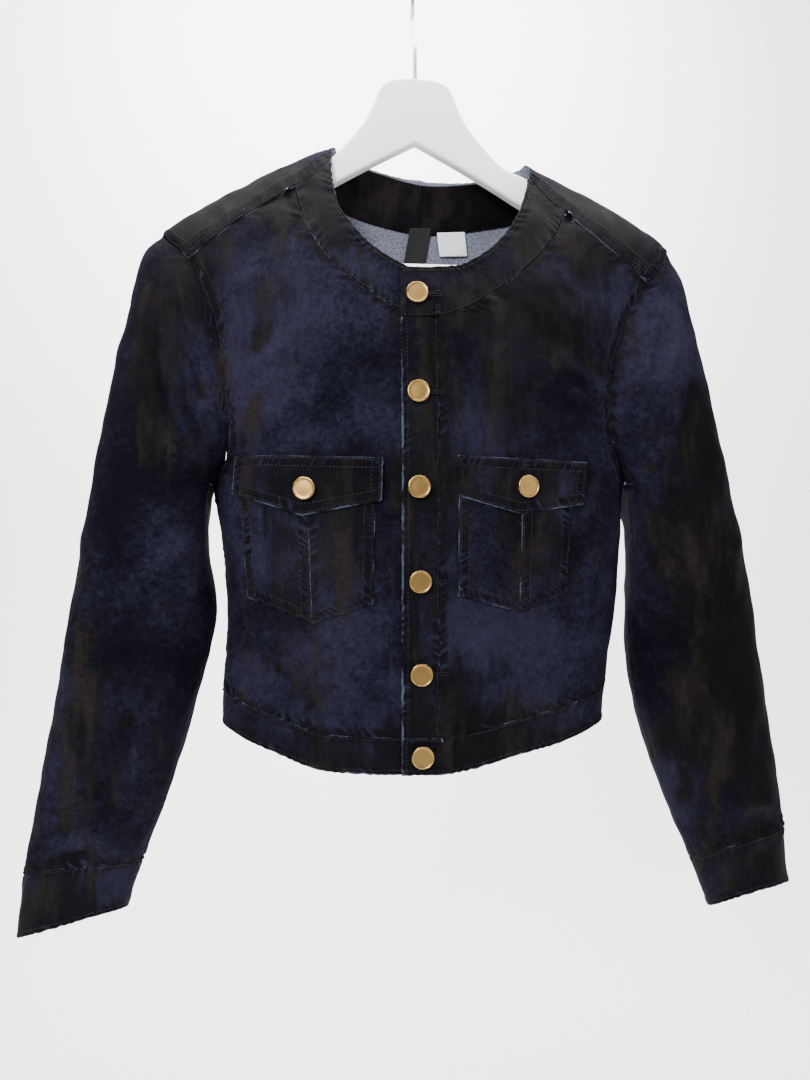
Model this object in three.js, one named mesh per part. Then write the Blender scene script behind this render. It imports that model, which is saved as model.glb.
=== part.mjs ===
import * as THREE from 'three';

// Short denim jacket with a round neck, hung on a flat wooden hanger.
// Millimetres. The origin is the inside top of the hanger's hook, +Z is up and the front
// faces -Y. Left and right are the viewer's, so left is the -X side.

// Cloth walls and seam gaps.
const CLOTH = 1.6;
const BAND_WALL = 2.6;
const CUFF_WALL = 2.8;
const POCKET_WALL = 1.4;
const FLAP_WALL = 1.8;
const FACING_WALL = 1.2;
const LABEL_WALL = 1.0;
const GAP = 0.4;
const HALF_GAP = GAP / 2;

// The right front laps over the left one and stands this much further out.
const LAP = 3.0;
const LAP_EDGE_X = -16;
const PLACKET_SEAM_X = 12.5;
const LAP_FADE_X = 40;
const UNDERLAP_X = 9;

// How the body narrows towards its sides: 1 is an ellipse, less is squarer.
const BODY_ROUNDNESS = 0.9;
const SLEEVE_ROUNDNESS = 0.92;
const RIDGE_DROP = 100;

// Body sections, one row per height: half widths to both sides, depths to front and back.
const BODY_SECTIONS = [
  { z: -126, left: 3, right: 6, front: 4, back: 7 },
  { z: -132, left: 25, right: 29, front: 5, back: 9 },
  { z: -140, left: 47, right: 51, front: 7, back: 12 },
  { z: -149, left: 68, right: 73, front: 9, back: 16 },
  { z: -164, left: 104, right: 107, front: 14, back: 22 },
  { z: -178, left: 131, right: 136, front: 19, back: 28 },
  { z: -191, left: 154, right: 161, front: 24, back: 33 },
  { z: -204, left: 176, right: 185, front: 29, back: 38 },
  { z: -217, left: 195, right: 205, front: 34, back: 42 },
  { z: -230, left: 208, right: 217, front: 38, back: 45 },
  { z: -245, left: 208, right: 219, front: 42, back: 48 },
  { z: -260, left: 203, right: 215, front: 46, back: 50 },
  { z: -280, left: 195, right: 207, front: 51, back: 53 },
  { z: -310, left: 184, right: 196, front: 56, back: 55 },
  { z: -350, left: 174, right: 186, front: 61, back: 57 },
  { z: -390, left: 168, right: 180, front: 65, back: 58 },
  { z: -428, left: 163.5, right: 175, front: 67, back: 57 },
  { z: -473, left: 159, right: 172.5, front: 67, back: 54 },
  { z: -505, left: 155.5, right: 170.5, front: 66, back: 53 },
  { z: -540, left: 154, right: 167, front: 66, back: 53 },
  { z: -573, left: 156, right: 162, front: 65, back: 54 },
  { z: -600, left: 158, right: 159, front: 65, back: 54 },
  { z: -650, left: 156, right: 155, front: 64, back: 55 },
];

// Neckband of each front, from the yoke seam to the front edge: the neck edge and the
// seam below.
const NECKBAND = {
  left: [
    { edgeX: -70.5, edgeZ: -166, seamX: -98, seamZ: -187.5 },
    { edgeX: -69.5, edgeZ: -179, seamX: -97.5, seamZ: -196 },
    { edgeX: -67, edgeZ: -194, seamX: -95.5, seamZ: -206 },
    { edgeX: -64, edgeZ: -206, seamX: -91.5, seamZ: -219 },
    { edgeX: -59, edgeZ: -216, seamX: -85, seamZ: -233 },
    { edgeX: -53, edgeZ: -225, seamX: -76.5, seamZ: -247 },
    { edgeX: -46, edgeZ: -234, seamX: -66, seamZ: -259 },
    { edgeX: -38, edgeZ: -242, seamX: -53.5, seamZ: -271 },
    { edgeX: -29, edgeZ: -249, seamX: -40, seamZ: -281 },
    { edgeX: -21, edgeZ: -254.5, seamX: -28, seamZ: -289.5 },
    { edgeX: -10, edgeZ: -260, seamX: -14, seamZ: -297 },
    { edgeX: 9, edgeZ: -264, seamX: 9, seamZ: -302 },
  ],
  right: [
    { edgeX: 94, edgeZ: -174.5, seamX: 117.9, seamZ: -199.5 },
    { edgeX: 91, edgeZ: -184, seamX: 118.6, seamZ: -208 },
    { edgeX: 87.5, edgeZ: -194, seamX: 116.5, seamZ: -216 },
    { edgeX: 84, edgeZ: -203.5, seamX: 112, seamZ: -225 },
    { edgeX: 79, edgeZ: -213, seamX: 105, seamZ: -235.5 },
    { edgeX: 73, edgeZ: -223, seamX: 96, seamZ: -246 },
    { edgeX: 66, edgeZ: -232, seamX: 85, seamZ: -257 },
    { edgeX: 58, edgeZ: -240.5, seamX: 73, seamZ: -268 },
    { edgeX: 49, edgeZ: -247.5, seamX: 60, seamZ: -277.5 },
    { edgeX: 39, edgeZ: -253.5, seamX: 46, seamZ: -287 },
    { edgeX: 28, edgeZ: -258.5, seamX: 31, seamZ: -295 },
    { edgeX: 12.5, edgeZ: -260.5, seamX: 12.5, seamZ: -301 },
    { edgeX: 0, edgeZ: -261, seamX: 0, seamZ: -302 },
    { edgeX: -16, edgeZ: -262, seamX: -16, seamZ: -302.5 },
  ],
};

// Rows of each front below the yoke seam: the neckband seam or front edge and, across
// from it, the armhole.
const ARMHOLE_ROWS = {
  left: [
    { seamX: -14, seamZ: -297, outX: -173, outZ: -268 },
    { seamX: 9, seamZ: -302, outX: -165, outZ: -288 },
    { seamX: 9, seamZ: -318, outX: -159.5, outZ: -308 },
    { seamX: 9, seamZ: -335, outX: -156, outZ: -328 },
    { seamX: 9, seamZ: -352, outX: -153.5, outZ: -347 },
    { seamX: 9, seamZ: -369, outX: -151, outZ: -366 },
    { seamX: 9, seamZ: -384, outX: -149, outZ: -384 },
    { seamX: 9, seamZ: -396, outX: -150.5, outZ: -402 },
    { seamX: 9, seamZ: -405, outX: -156, outZ: -417 },
    { seamX: 9, seamZ: -411, outX: -161, outZ: -424 },
    { seamX: 9, seamZ: -416, outX: -163.5, outZ: -428 },
  ],
  right: [
    { seamX: 31, seamZ: -295, outX: 180.5, outZ: -277 },
    { seamX: 12.5, seamZ: -301, outX: 171, outZ: -293 },
    { seamX: 12.5, seamZ: -318, outX: 164.5, outZ: -310 },
    { seamX: 12.5, seamZ: -335, outX: 159.5, outZ: -328 },
    { seamX: 12.5, seamZ: -352, outX: 157, outZ: -347 },
    { seamX: 12.5, seamZ: -369, outX: 156, outZ: -366 },
    { seamX: 12.5, seamZ: -383, outX: 156.5, outZ: -384 },
    { seamX: 12.5, seamZ: -395, outX: 160, outZ: -399 },
    { seamX: 12.5, seamZ: -404, outX: 166.5, outZ: -412 },
    { seamX: 12.5, seamZ: -410, outX: 172, outZ: -420 },
    { seamX: 12.5, seamZ: -415, outX: 175, outZ: -425 },
  ],
};

// Lower rows of both fronts and the back: height at the front edge and at the side seam.
const SIDE_ROWS = [
  { front: -432, side: -448, bend: 0 },
  { front: -452, side: -468, bend: 0.05 },
  { front: -473, side: -490, bend: 0.12 },
  { front: -496, side: -512, bend: 0.25 },
  { front: -522, side: -534, bend: 0.45 },
  { front: -551, side: -555, bend: 0.65 },
  { front: -584, side: -573, bend: 0.85 },
  { front: -622, side: -592, bend: 1 },
];

// Armhole edge of the yoke, from the front yoke seam over the shoulder to the back seam.
const YOKE_ARMHOLE = {
  left: [
    { x: -182, z: -251, face: -1 },
    { x: -191, z: -242, face: -1 },
    { x: -199.5, z: -235, face: -1 },
    { x: -206, z: 0, face: 0 },
    { x: -202.5, z: -238, face: 1 },
    { x: -196, z: -250, face: 1 },
    { x: -187, z: -266, face: 1 },
    { x: -179, z: -282, face: 1 },
    { x: -171.5, z: -300, face: 1 },
  ],
  right: [
    { x: 191, z: -262, face: -1 },
    { x: 201, z: -250, face: -1 },
    { x: 210, z: -240, face: -1 },
    { x: 216, z: 0, face: 0 },
    { x: 213, z: -241, face: 1 },
    { x: 206, z: -254, face: 1 },
    { x: 196.5, z: -269, face: 1 },
    { x: 187.5, z: -284, face: 1 },
    { x: 179, z: -300, face: 1 },
  ],
};

// Neck edge of the yoke, matched to its armhole edge, its back seam and the other armhole.
const YOKE_NECK = {
  left: [
    { x: -70.5, z: -166, face: -1 },
    { x: -69.5, z: -158, face: -1 },
    { x: -68.5, z: -152, face: -1 },
    { x: -67, z: 0, face: 0 },
    { x: -65, z: -149.5, face: 1 },
    { x: -61, z: -151, face: 1 },
    { x: -56, z: -152.5, face: 1 },
    { x: -51, z: -154, face: 1 },
    { x: -45, z: -156, face: 1 },
  ],
  right: [
    { x: 94, z: -174.5, face: -1 },
    { x: 94.5, z: -167, face: -1 },
    { x: 94.5, z: -161.5, face: -1 },
    { x: 93, z: 0, face: 0 },
    { x: 90, z: -158.5, face: 1 },
    { x: 84, z: -159.5, face: 1 },
    { x: 78, z: -161, face: 1 },
    { x: 71, z: -162.5, face: 1 },
    { x: 64, z: -164, face: 1 },
  ],
};
const BACK_NECK_LOW = 5;
const BACK_YOKE_STEPS = 10;
const YOKE_SEAM_BOW = 0.5;

// Shares of the front yoke seam at which the neckband ends and a front's first rows start.
const YOKE_SEAM_NECKBAND = 0.2466;
const YOKE_SEAM_SHARES = [0.3, 0.38, 0.46, 0.54, 0.62, 0.7, 0.78, 0.86, 0.93, 1];
const YOKE_SEAM_DROP = 1;
const YOKE_LEVELS = [0, 0.1233, 0.2466, ...YOKE_SEAM_SHARES];

// Armhole edge of the back panel below the yoke, ending under the arm.
const BACK_ARMHOLE = {
  left: [
    { x: -171.5, z: -300 },
    { x: -166, z: -320 },
    { x: -161.5, z: -342 },
    { x: -158.5, z: -364 },
    { x: -157, z: -384 },
    { x: -157.5, z: -402 },
    { x: -159.5, z: -417 },
    { x: -162.3, z: -424 },
    { x: -163.5, z: -428 },
  ],
  right: [
    { x: 179, z: -300 },
    { x: 173, z: -320 },
    { x: 168, z: -342 },
    { x: 165, z: -364 },
    { x: 164, z: -384 },
    { x: 165.5, z: -401 },
    { x: 169.5, z: -414 },
    { x: 173.2, z: -421 },
    { x: 175, z: -425 },
  ],
};

// Rise of the hem and waist seam away from the centre front.
const HEM_RISE = [
  { x: 0, left: 0, right: 0 },
  { x: 20, left: 0, right: 0 },
  { x: 40, left: 0, right: 3 },
  { x: 77, left: 2.5, right: 11.5 },
  { x: 90, left: 6, right: 14 },
  { x: 107, left: 12, right: 16.5 },
  { x: 133, left: 21, right: 23 },
  { x: 148, left: 27, right: 27 },
  { x: 159, left: 30, right: 30 },
];
const WAIST_SEAM_Z = -622;
const HEM_Z = -650;

// Sleeve sections from the armhole to the cuff seam and the cuff's end: the outer and
// inner outline points, depths to front and back, forward swing, rise of the front edge
// and share of the armhole's shape (hole).
const SLEEVE_SECTIONS = {
  left: [
    { outX: -206, outZ: -226, inX: -163.5, inZ: -428, front: 26, back: 30, swing: 0, scoop: 0, hole: 1 },
    { outX: -221, outZ: -243, inX: -167, inZ: -436, front: 34, back: 36, swing: 0, scoop: 0, hole: 0.75 },
    { outX: -232, outZ: -288, inX: -168.5, inZ: -446, front: 40, back: 40, swing: 1, scoop: 0, hole: 0.5 },
    { outX: -242, outZ: -335, inX: -169, inZ: -460, front: 42, back: 41, swing: 2, scoop: 0, hole: 0.28 },
    { outX: -252, outZ: -385, inX: -168.5, inZ: -478, front: 41, back: 40, swing: 3, scoop: 0, hole: 0.12 },
    { outX: -262, outZ: -440, inX: -166, inZ: -500, front: 40, back: 38, swing: 4, scoop: 0, hole: 0.04 },
    { outX: -270.5, outZ: -492, inX: -161.5, inZ: -525, front: 39, back: 36, swing: 5, scoop: 0, hole: 0 },
    { outX: -278, outZ: -540, inX: -164.5, inZ: -552, front: 37, back: 34, swing: 6, scoop: 0, hole: 0 },
    { outX: -286, outZ: -590, inX: -175, inZ: -592, front: 35, back: 32, swing: 7, scoop: 2, hole: 0 },
    { outX: -294, outZ: -640, inX: -188.5, inZ: -642, front: 33, back: 30, swing: 8, scoop: 5, hole: 0 },
    { outX: -302.5, outZ: -690, inX: -205.5, inZ: -690, front: 31, back: 28, swing: 9, scoop: 8, hole: 0 },
    { outX: -310, outZ: -737, inX: -219.5, inZ: -729, front: 28, back: 26, swing: 10, scoop: 11, hole: 0 },
    { outX: -316, outZ: -785, inX: -231, inZ: -764, front: 27, back: 25, swing: 10, scoop: 8, hole: 0 },
  ],
  right: [
    { outX: 216, outZ: -229, inX: 175, inZ: -425, front: 26, back: 30, swing: 0, scoop: 0, hole: 1 },
    { outX: 228, outZ: -252, inX: 179, inZ: -434, front: 34, back: 36, swing: 0, scoop: 0, hole: 0.75 },
    { outX: 237, outZ: -292, inX: 180, inZ: -446, front: 40, back: 40, swing: 1, scoop: 0, hole: 0.5 },
    { outX: 247, outZ: -338, inX: 181, inZ: -462, front: 42, back: 41, swing: 2, scoop: 0, hole: 0.28 },
    { outX: 257.5, outZ: -385, inX: 181.5, inZ: -480, front: 41, back: 40, swing: 3, scoop: 0, hole: 0.12 },
    { outX: 267.5, outZ: -432, inX: 180.5, inZ: -505, front: 40, back: 38, swing: 4, scoop: 0, hole: 0.04 },
    { outX: 276.5, outZ: -480, inX: 178, inZ: -533, front: 39, back: 36, swing: 5, scoop: 0, hole: 0 },
    { outX: 286, outZ: -528, inX: 178.5, inZ: -560, front: 37, back: 34, swing: 6, scoop: 0, hole: 0 },
    { outX: 292.5, outZ: -575, inX: 183, inZ: -598, front: 35, back: 32, swing: 7, scoop: 2, hole: 0 },
    { outX: 300, outZ: -625, inX: 192.5, inZ: -638, front: 33, back: 30, swing: 8, scoop: 5, hole: 0 },
    { outX: 306.5, outZ: -672, inX: 211, inZ: -690, front: 31, back: 28, swing: 9, scoop: 8, hole: 0 },
    { outX: 311.5, outZ: -716, inX: 233.5, inZ: -741, front: 28, back: 26, swing: 10, scoop: 11, hole: 0 },
    { outX: 315.5, outZ: -764, inX: 249, inZ: -782, front: 27, back: 25, swing: 10, scoop: 14, hole: 0 },
  ],
};
const CUFF_SECTION = 11;
const SLEEVE_STEPS = 17;
const SLEEVE_CLEAR = 3;
const SLEEVE_GAP = 0.7;
const UNDERARM_ROWS = 5;
const FOLD_FADE_TOP = 0.12;
const FOLD_FADE_LOW = 0.06;
const CUFF_STEPS = 3;

// Largest folds of the body: centre, half length and half width, lean and depth.
const BODY_FOLDS = [
  { x: -110, z: -395, long: 60, wide: 12, lean: 60, deep: 2.5, face: -1 },
  { x: 118, z: -330, long: 60, wide: 14, lean: -45, deep: 3, face: -1 },
  { x: -95, z: -575, long: 45, wide: 11, lean: 20, deep: 2.5, face: -1 },
  { x: 95, z: -560, long: 50, wide: 12, lean: -25, deep: 2.5, face: -1 },
  { x: -90, z: -420, long: 90, wide: 16, lean: 55, deep: 3, face: 1 },
  { x: 95, z: -430, long: 85, wide: 15, lean: -50, deep: 3, face: 1 },
  { x: -60, z: -560, long: 50, wide: 13, lean: 15, deep: 2.5, face: 1 },
  { x: 70, z: -570, long: 55, wide: 12, lean: -20, deep: 2.5, face: 1 },
];

// Largest folds of the sleeves: place along the sleeve (0 to 1), angle from the outer
// edge through the front, half length along, half width around, twist and depth.
const SLEEVE_FOLDS = {
  left: [
    { at: 0.2, angle: 60, long: 0.14, wide: 20, twist: 160, deep: 5 },
    { at: 0.38, angle: 120, long: 0.07, wide: 16, twist: -260, deep: 5 },
    { at: 0.55, angle: 75, long: 0.1, wide: 18, twist: 200, deep: 3 },
    { at: 0.78, angle: 100, long: 0.08, wide: 20, twist: -180, deep: 3 },
    { at: 0.3, angle: 250, long: 0.15, wide: 22, twist: -120, deep: 4 },
    { at: 0.62, angle: 285, long: 0.1, wide: 20, twist: 180, deep: 3 },
  ],
  right: [
    { at: 0.22, angle: 70, long: 0.16, wide: 18, twist: 150, deep: 5 },
    { at: 0.42, angle: 125, long: 0.1, wide: 14, twist: -120, deep: 5 },
    { at: 0.58, angle: 80, long: 0.12, wide: 18, twist: 120, deep: 3.5 },
    { at: 0.8, angle: 95, long: 0.08, wide: 18, twist: -150, deep: 3 },
    { at: 0.33, angle: 255, long: 0.14, wide: 22, twist: -140, deep: 4 },
    { at: 0.65, angle: 280, long: 0.1, wide: 20, twist: 160, deep: 3 },
  ],
};

// Pockets and flaps: top and bottom of the outer edge, the pointed middle and inner edge.
const POCKETS = {
  left: [
    { topX: -140, topZ: -428, lowX: -132, lowZ: -517 },
    { topX: -87, topZ: -430, lowX: -83, lowZ: -536 },
    { topX: -36, topZ: -430, lowX: -38, lowZ: -521 },
  ],
  right: [
    { topX: 118, topZ: -432, lowX: 114, lowZ: -513 },
    { topX: 76, topZ: -432, lowX: 74, lowZ: -528 },
    { topX: 26, topZ: -430, lowX: 26, lowZ: -515 },
  ],
};
const FLAPS = {
  left: [
    { topX: -141, topZ: -408, lowX: -143, lowZ: -437 },
    { topX: -86, topZ: -409.5, lowX: -90, lowZ: -454 },
    { topX: -31, topZ: -411, lowX: -32, lowZ: -443 },
  ],
  right: [
    { topX: 130, topZ: -411.5, lowX: 126, lowZ: -444.5 },
    { topX: 77, topZ: -410.5, lowX: 74, lowZ: -452.5 },
    { topX: 25, topZ: -409, lowX: 27, lowZ: -440 },
  ],
};
const POCKET_LIFT = 0.7;
const FLAP_LIFT = POCKET_LIFT + POCKET_WALL + GAP;

// Buttons: disc with a raised rim on a short shank.
const BUTTON_R = 8.6;
const BUTTON_RIM = 1.3;
const BUTTON_DISC = 2;
const BUTTON_DISH = 0.5;
const BUTTON_EDGE = 0.8;
const SHANK_R = 2.6;
const SHANK_LONG = 2.4;
const BUTTON_SIDES = 18;
const FRONT_BUTTONS = [
  { x: -4, z: -284 },
  { x: -4, z: -361 },
  { x: -4, z: -433 },
  { x: -3, z: -504 },
  { x: -2, z: -574 },
  { x: -1, z: -636 },
];
const POCKET_BUTTONS = {
  left: { x: -88, z: -434 },
  right: { x: 79, z: -432 },
};

// Lower edge of the facing inside the back neck.
const FACING_LOW = [
  { x: -88, z: -178 },
  { x: -55, z: -192 },
  { x: -24, z: -200 },
  { x: 12, z: -205 },
  { x: 49, z: -202 },
  { x: 90, z: -196 },
  { x: 118, z: -188 },
];
const FACING_TOP = [
  { x: -62, z: -151.5 },
  { x: -45, z: -157 },
  { x: -17, z: -163.5 },
  { x: 11, z: -168 },
  { x: 42, z: -167 },
  { x: 66, z: -164.5 },
  { x: 88, z: -160 },
];

// Blank labels hung inside the back neck: corners from the top left, going across.
const LABELS = {
  black: { x0: -1, x1: 17, z0: -200, z1: -200, lowShift: -5, tall: 30 },
  white: { x0: 23, x1: 47, z0: -203, z1: -202, lowShift: 3, tall: 19 },
};

// Hanger: flat wood, the outline of one half from its top middle outwards and back.
const HANGER_THICK = 12;
const HANGER_BEVEL = 1;
const HANGER_HALF = [
  { x: 0, z: -91 },
  { x: 12, z: -91.3 },
  { x: 22, z: -93.5 },
  { x: 28, z: -98 },
  { x: 30.5, z: -102 },
  { x: 35, z: -113.5 },
  { x: 41.3, z: -126 },
  { x: 50, z: -138 },
  { x: 60.7, z: -150 },
  { x: 69, z: -158.5 },
  { x: 77, z: -164 },
  { x: 92, z: -170 },
  { x: 113, z: -180.5 },
  { x: 136, z: -193 },
  { x: 159, z: -205 },
  { x: 180, z: -217 },
  { x: 190, z: -224 },
  { x: 195, z: -232 },
  { x: 195, z: -248 },
  { x: 188, z: -256 },
  { x: 172, z: -256 },
  { x: 172, z: -238 },
  { x: 150, z: -226 },
  { x: 110, z: -205 },
  { x: 86, z: -192 },
  { x: 66, z: -180 },
  { x: 36, z: -163 },
  { x: 0, z: -144 },
];
const BAR_Z = -247.5;
const BAR_R = 4.5;
const BAR_HALF = 171.5;
const BAR_SIDES = 16;

// Hook: bent steel wire, seen edge-on from the front.
const WIRE_R = 1.6;
const HOOK_R = 22;
const HOOK_FOOT_Z = -90.6;
const HOOK_STEM_Z = -64;
const HOOK_TURNS = [-48, -24, 0, 24, 48, 70, 90, 110, 135, 160, 185, 208];
const HOOK_SIDES = 8;
const HOOK_STEPS = 32;

// Materials.
const denim = () => new THREE.MeshStandardMaterial({ color: 0x1f2140, roughness: 0.9, metalness: 0 });
const denimInside = () => new THREE.MeshStandardMaterial({ color: 0x16172b, roughness: 0.9, metalness: 0 });
const brass = () => new THREE.MeshStandardMaterial({ color: 0xc39a5c, roughness: 0.35, metalness: 1 });
const blackTape = () => new THREE.MeshStandardMaterial({ color: 0x0b0b0d, roughness: 0.8, metalness: 0 });
const whiteTape = () => new THREE.MeshStandardMaterial({ color: 0xe6e8ee, roughness: 0.7, metalness: 0 });
const paintedWood = () => new THREE.MeshStandardMaterial({ color: 0xe2ded8, roughness: 0.5, metalness: 0 });
const steel = () => new THREE.MeshStandardMaterial({ color: 0x9a9a9c, roughness: 0.3, metalness: 1 });

// Small helpers.
const lerp = (a, b, t) => a + (b - a) * t;
const clamp01 = (t) => Math.min(1, Math.max(0, t));
const smooth = (t) => clamp01(t) * clamp01(t) * (3 - 2 * clamp01(t));

// Value of one column of a table at a key, by a smooth curve through the rows.
function column(rows, key, name, at) {
  const last = rows.length - 1;
  const rising = rows[last][key] > rows[0][key];
  let i = 0;
  while (i < last - 1 && (rising ? rows[i + 1][key] < at : rows[i + 1][key] > at)) {
    i += 1;
  }
  const a = rows[Math.max(0, i - 1)];
  const b = rows[i];
  const c = rows[i + 1];
  const d = rows[Math.min(last, i + 2)];
  const span = c[key] - b[key];
  const t = clamp01((at - b[key]) / span);
  const slopeB = (c[name] - a[name]) / (c[key] - a[key]) * span;
  const slopeC = (d[name] - b[name]) / (d[key] - b[key]) * span;
  const t2 = t * t;
  const t3 = t2 * t;
  return (2 * t3 - 3 * t2 + 1) * b[name] + (t3 - 2 * t2 + t) * slopeB
    + (3 * t2 - 2 * t3) * c[name] + (t3 - t2) * slopeC;
}

// The row of a table at a fractional place along it, each column taken smoothly.
function rowAt(rows, place) {
  const indexed = rows.map((row, index) => ({ ...row, index }));
  const out = {};
  for (const name of Object.keys(rows[0])) {
    out[name] = column(indexed, 'index', name, place);
  }
  return out;
}

function halfWidth(x, z) {
  return column(BODY_SECTIONS, 'z', x < 0 ? 'left' : 'right', z);
}

// Height of the shoulder line over x.
function ridge(x) {
  let low = -230;
  let high = -126;
  for (let i = 0; i < 40; i += 1) {
    const mid = (low + high) / 2;
    if (halfWidth(x, mid) > Math.abs(x)) {
      low = mid;
    } else {
      high = mid;
    }
  }
  return (low + high) / 2;
}

// Depth of the body's folds at a point of its surface.
function bodyFold(x, z, face) {
  let deep = 0;
  for (const fold of BODY_FOLDS) {
    if (fold.face === face) {
      const lean = THREE.MathUtils.degToRad(fold.lean);
      const dx = x - fold.x;
      const dz = z - fold.z;
      const along = (dx * Math.sin(lean) + dz * Math.cos(lean)) / fold.long;
      const across = (dx * Math.cos(lean) - dz * Math.sin(lean)) / fold.wide;
      deep += fold.deep * Math.exp(-along * along - across * across);
    }
  }
  return deep;
}

// Point of the body's outer surface over x and z; face is -1 at the front, 1 at the back.
function bodyPoint(x, z, face, lifted = false) {
  const w = halfWidth(x, z);
  const depth = column(BODY_SECTIONS, 'z', face < 0 ? 'front' : 'back', z);
  const round = Math.pow(Math.max(0, 1 - (x / w) ** 2), BODY_ROUNDNESS / 2);
  const lap = lifted ? LAP * smooth((LAP_FADE_X - x) / (LAP_FADE_X - PLACKET_SEAM_X)) : 0;
  const y = face * (depth * round - bodyFold(x, z, face) * Math.min(1, 2 * round) + lap);
  return new THREE.Vector3(x, y, z);
}

// Point of the body's surface over x at a signed distance from the shoulder line.
function ridgePoint(x, q) {
  const z = ridge(x) - RIDGE_DROP * q * q;
  const point = bodyPoint(x, z, q < 0 ? -1 : 1);
  return q === 0 ? new THREE.Vector3(x, 0, z) : point;
}

function ridgePlace(row) {
  if (row.face === 0) {
    return { x: row.x, q: 0 };
  }
  return { x: row.x, q: row.face * Math.sqrt(Math.max(0, ridge(row.x) - row.z) / RIDGE_DROP) };
}

// Outward normal at a place of a grid whose rows run down and columns run so that the
// cross product of down and across points out.
function gridNormal(grid, r, c, tube) {
  const cols = grid[0].length;
  const wrap = (i) => grid[r][(i + cols) % cols];
  const across = tube
    ? tangent(wrap(c - 1), wrap(c), wrap(c + 1))
    : rowTangent((i) => grid[r][i], c, cols - 1);
  const down = rowTangent((i) => grid[i][c], r, grid.length - 1);
  return down.cross(across).normalize();
}

// Direction of a smooth curve through three points, at the middle one.
function tangent(before, point, after) {
  const a = point.clone().sub(before);
  const b = after.clone().sub(point);
  const ratio = b.length() / a.length();
  return a.multiplyScalar(ratio).addScaledVector(b, 1 / ratio);
}

// Direction of a row of points at one of its steps, its two ends included.
function rowTangent(at, i, last) {
  if (i > 0 && i < last) {
    return tangent(at(i - 1), at(i), at(i + 1));
  }
  const turn = i === 0 ? 1 : -1;
  const near = at(i + turn).clone().sub(at(i));
  if (last < 2) {
    return near.multiplyScalar(turn);
  }
  const far = at(i + 2 * turn).clone().sub(at(i + turn));
  const share = near.length() / (near.length() + far.length());
  const bend = near.normalize().clone().sub(far.normalize());
  return near.addScaledVector(bend, share).multiplyScalar(turn);
}

function moveOut(grid, lift, tube = false) {
  return grid.map((row, r) => row.map((point, c) => (
    point.clone().addScaledVector(gridNormal(grid, r, c, tube), lift))));
}

// Seam between the yoke and a front at a share of its length from the neck edge.
function yokeSeamPlace(side, share, drop = 0) {
  const from = ridgePlace(YOKE_NECK[side][0]);
  const to = ridgePlace(YOKE_ARMHOLE[side][0]);
  const x = lerp(from.x, to.x, share);
  const q = lerp(from.q, to.q, Math.pow(share, YOKE_SEAM_BOW));
  return { x, z: ridge(x) - RIDGE_DROP * q * q - drop };
}

// Closed cloth solid between a grid of outer points and the same grid moved in by a wall.
function clothGeometry(grid, wall, tube = false) {
  const rows = grid.length;
  const cols = grid[0].length;
  const inner = moveOut(grid, -wall, tube);
  const positions = [];
  for (const side of [grid, inner]) {
    for (const point of side.flat()) {
      positions.push(point.x, point.y, point.z);
    }
  }
  const offset = rows * cols;
  const index = [];
  const id = (r, c) => r * cols + (tube ? c % cols : c);
  const quad = (a, b, c, d) => index.push(a, b, c, a, c, d);
  const lastRow = rows - 1;
  const lastCol = cols - 1;
  const spans = tube ? cols : lastCol;
  for (let r = 0; r < lastRow; r += 1) {
    for (let c = 0; c < spans; c += 1) {
      const corners = [id(r, c), id(r + 1, c), id(r + 1, c + 1), id(r, c + 1)];
      quad(...corners);
      quad(...corners.reverse().map((corner) => corner + offset));
    }
  }
  for (let c = 0; c < spans; c += 1) {
    quad(id(0, c), id(0, c + 1), offset + id(0, c + 1), offset + id(0, c));
    quad(id(lastRow, c + 1), id(lastRow, c), offset + id(lastRow, c), offset + id(lastRow, c + 1));
  }
  for (let r = 0; r < lastRow && !tube; r += 1) {
    quad(id(r + 1, 0), id(r, 0), offset + id(r, 0), offset + id(r + 1, 0));
    quad(id(r, lastCol), id(r + 1, lastCol), offset + id(r + 1, lastCol), offset + id(r, lastCol));
  }
  const geometry = new THREE.BufferGeometry();
  geometry.setAttribute('position', new THREE.Float32BufferAttribute(positions, 3));
  geometry.setIndex(index);
  geometry.computeVertexNormals();
  return geometry;
}

const parts = new THREE.Group();
parts.name = 'denim_jacket_on_hanger';

function add(name, geometry, material) {
  const mesh = new THREE.Mesh(geometry, material);
  mesh.name = name;
  parts.add(mesh);
}

const flip = (grid) => grid.map((row) => row.slice().reverse());
const sideSign = (side) => (side === 'left' ? -1 : 1);
const outwards = (grid, side) => (side === 'left' ? flip(grid) : grid);

function hemRise(x) {
  const reach = HEM_RISE[HEM_RISE.length - 1].x;
  return column(HEM_RISE, 'x', x < 0 ? 'left' : 'right', Math.min(Math.abs(x), reach));
}

// Points of one cloth row between an inner and an outer place of the body's surface,
// spaced evenly by angle around the body.
function bodyRow(inner, outer, face, steps, lifted, bend = 0, bow = () => 0) {
  const row = [];
  const angle = (place) => Math.asin(clamp01(Math.abs(place.x) / halfWidth(place.x, place.z)));
  const from = Math.sign(inner.x) * angle(inner);
  const to = Math.sign(outer.x) * angle(outer);
  const riseIn = hemRise(inner.x);
  const riseOut = hemRise(outer.x);
  for (let i = 0; i <= steps; i += 1) {
    const t = i / steps;
    const straight = lerp(inner.z, outer.z, t) + bow(t);
    const phi = lerp(from, to, t);
    const guess = Math.sin(Math.abs(phi)) * halfWidth(phi, straight) * Math.sign(phi);
    const z = straight + bend * (hemRise(guess) - lerp(riseIn, riseOut, t));
    const x = Math.sin(Math.abs(phi)) * halfWidth(phi, z) * Math.sign(phi);
    row.push(bodyPoint(x, z, face, lifted));
  }
  return row;
}

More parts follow.
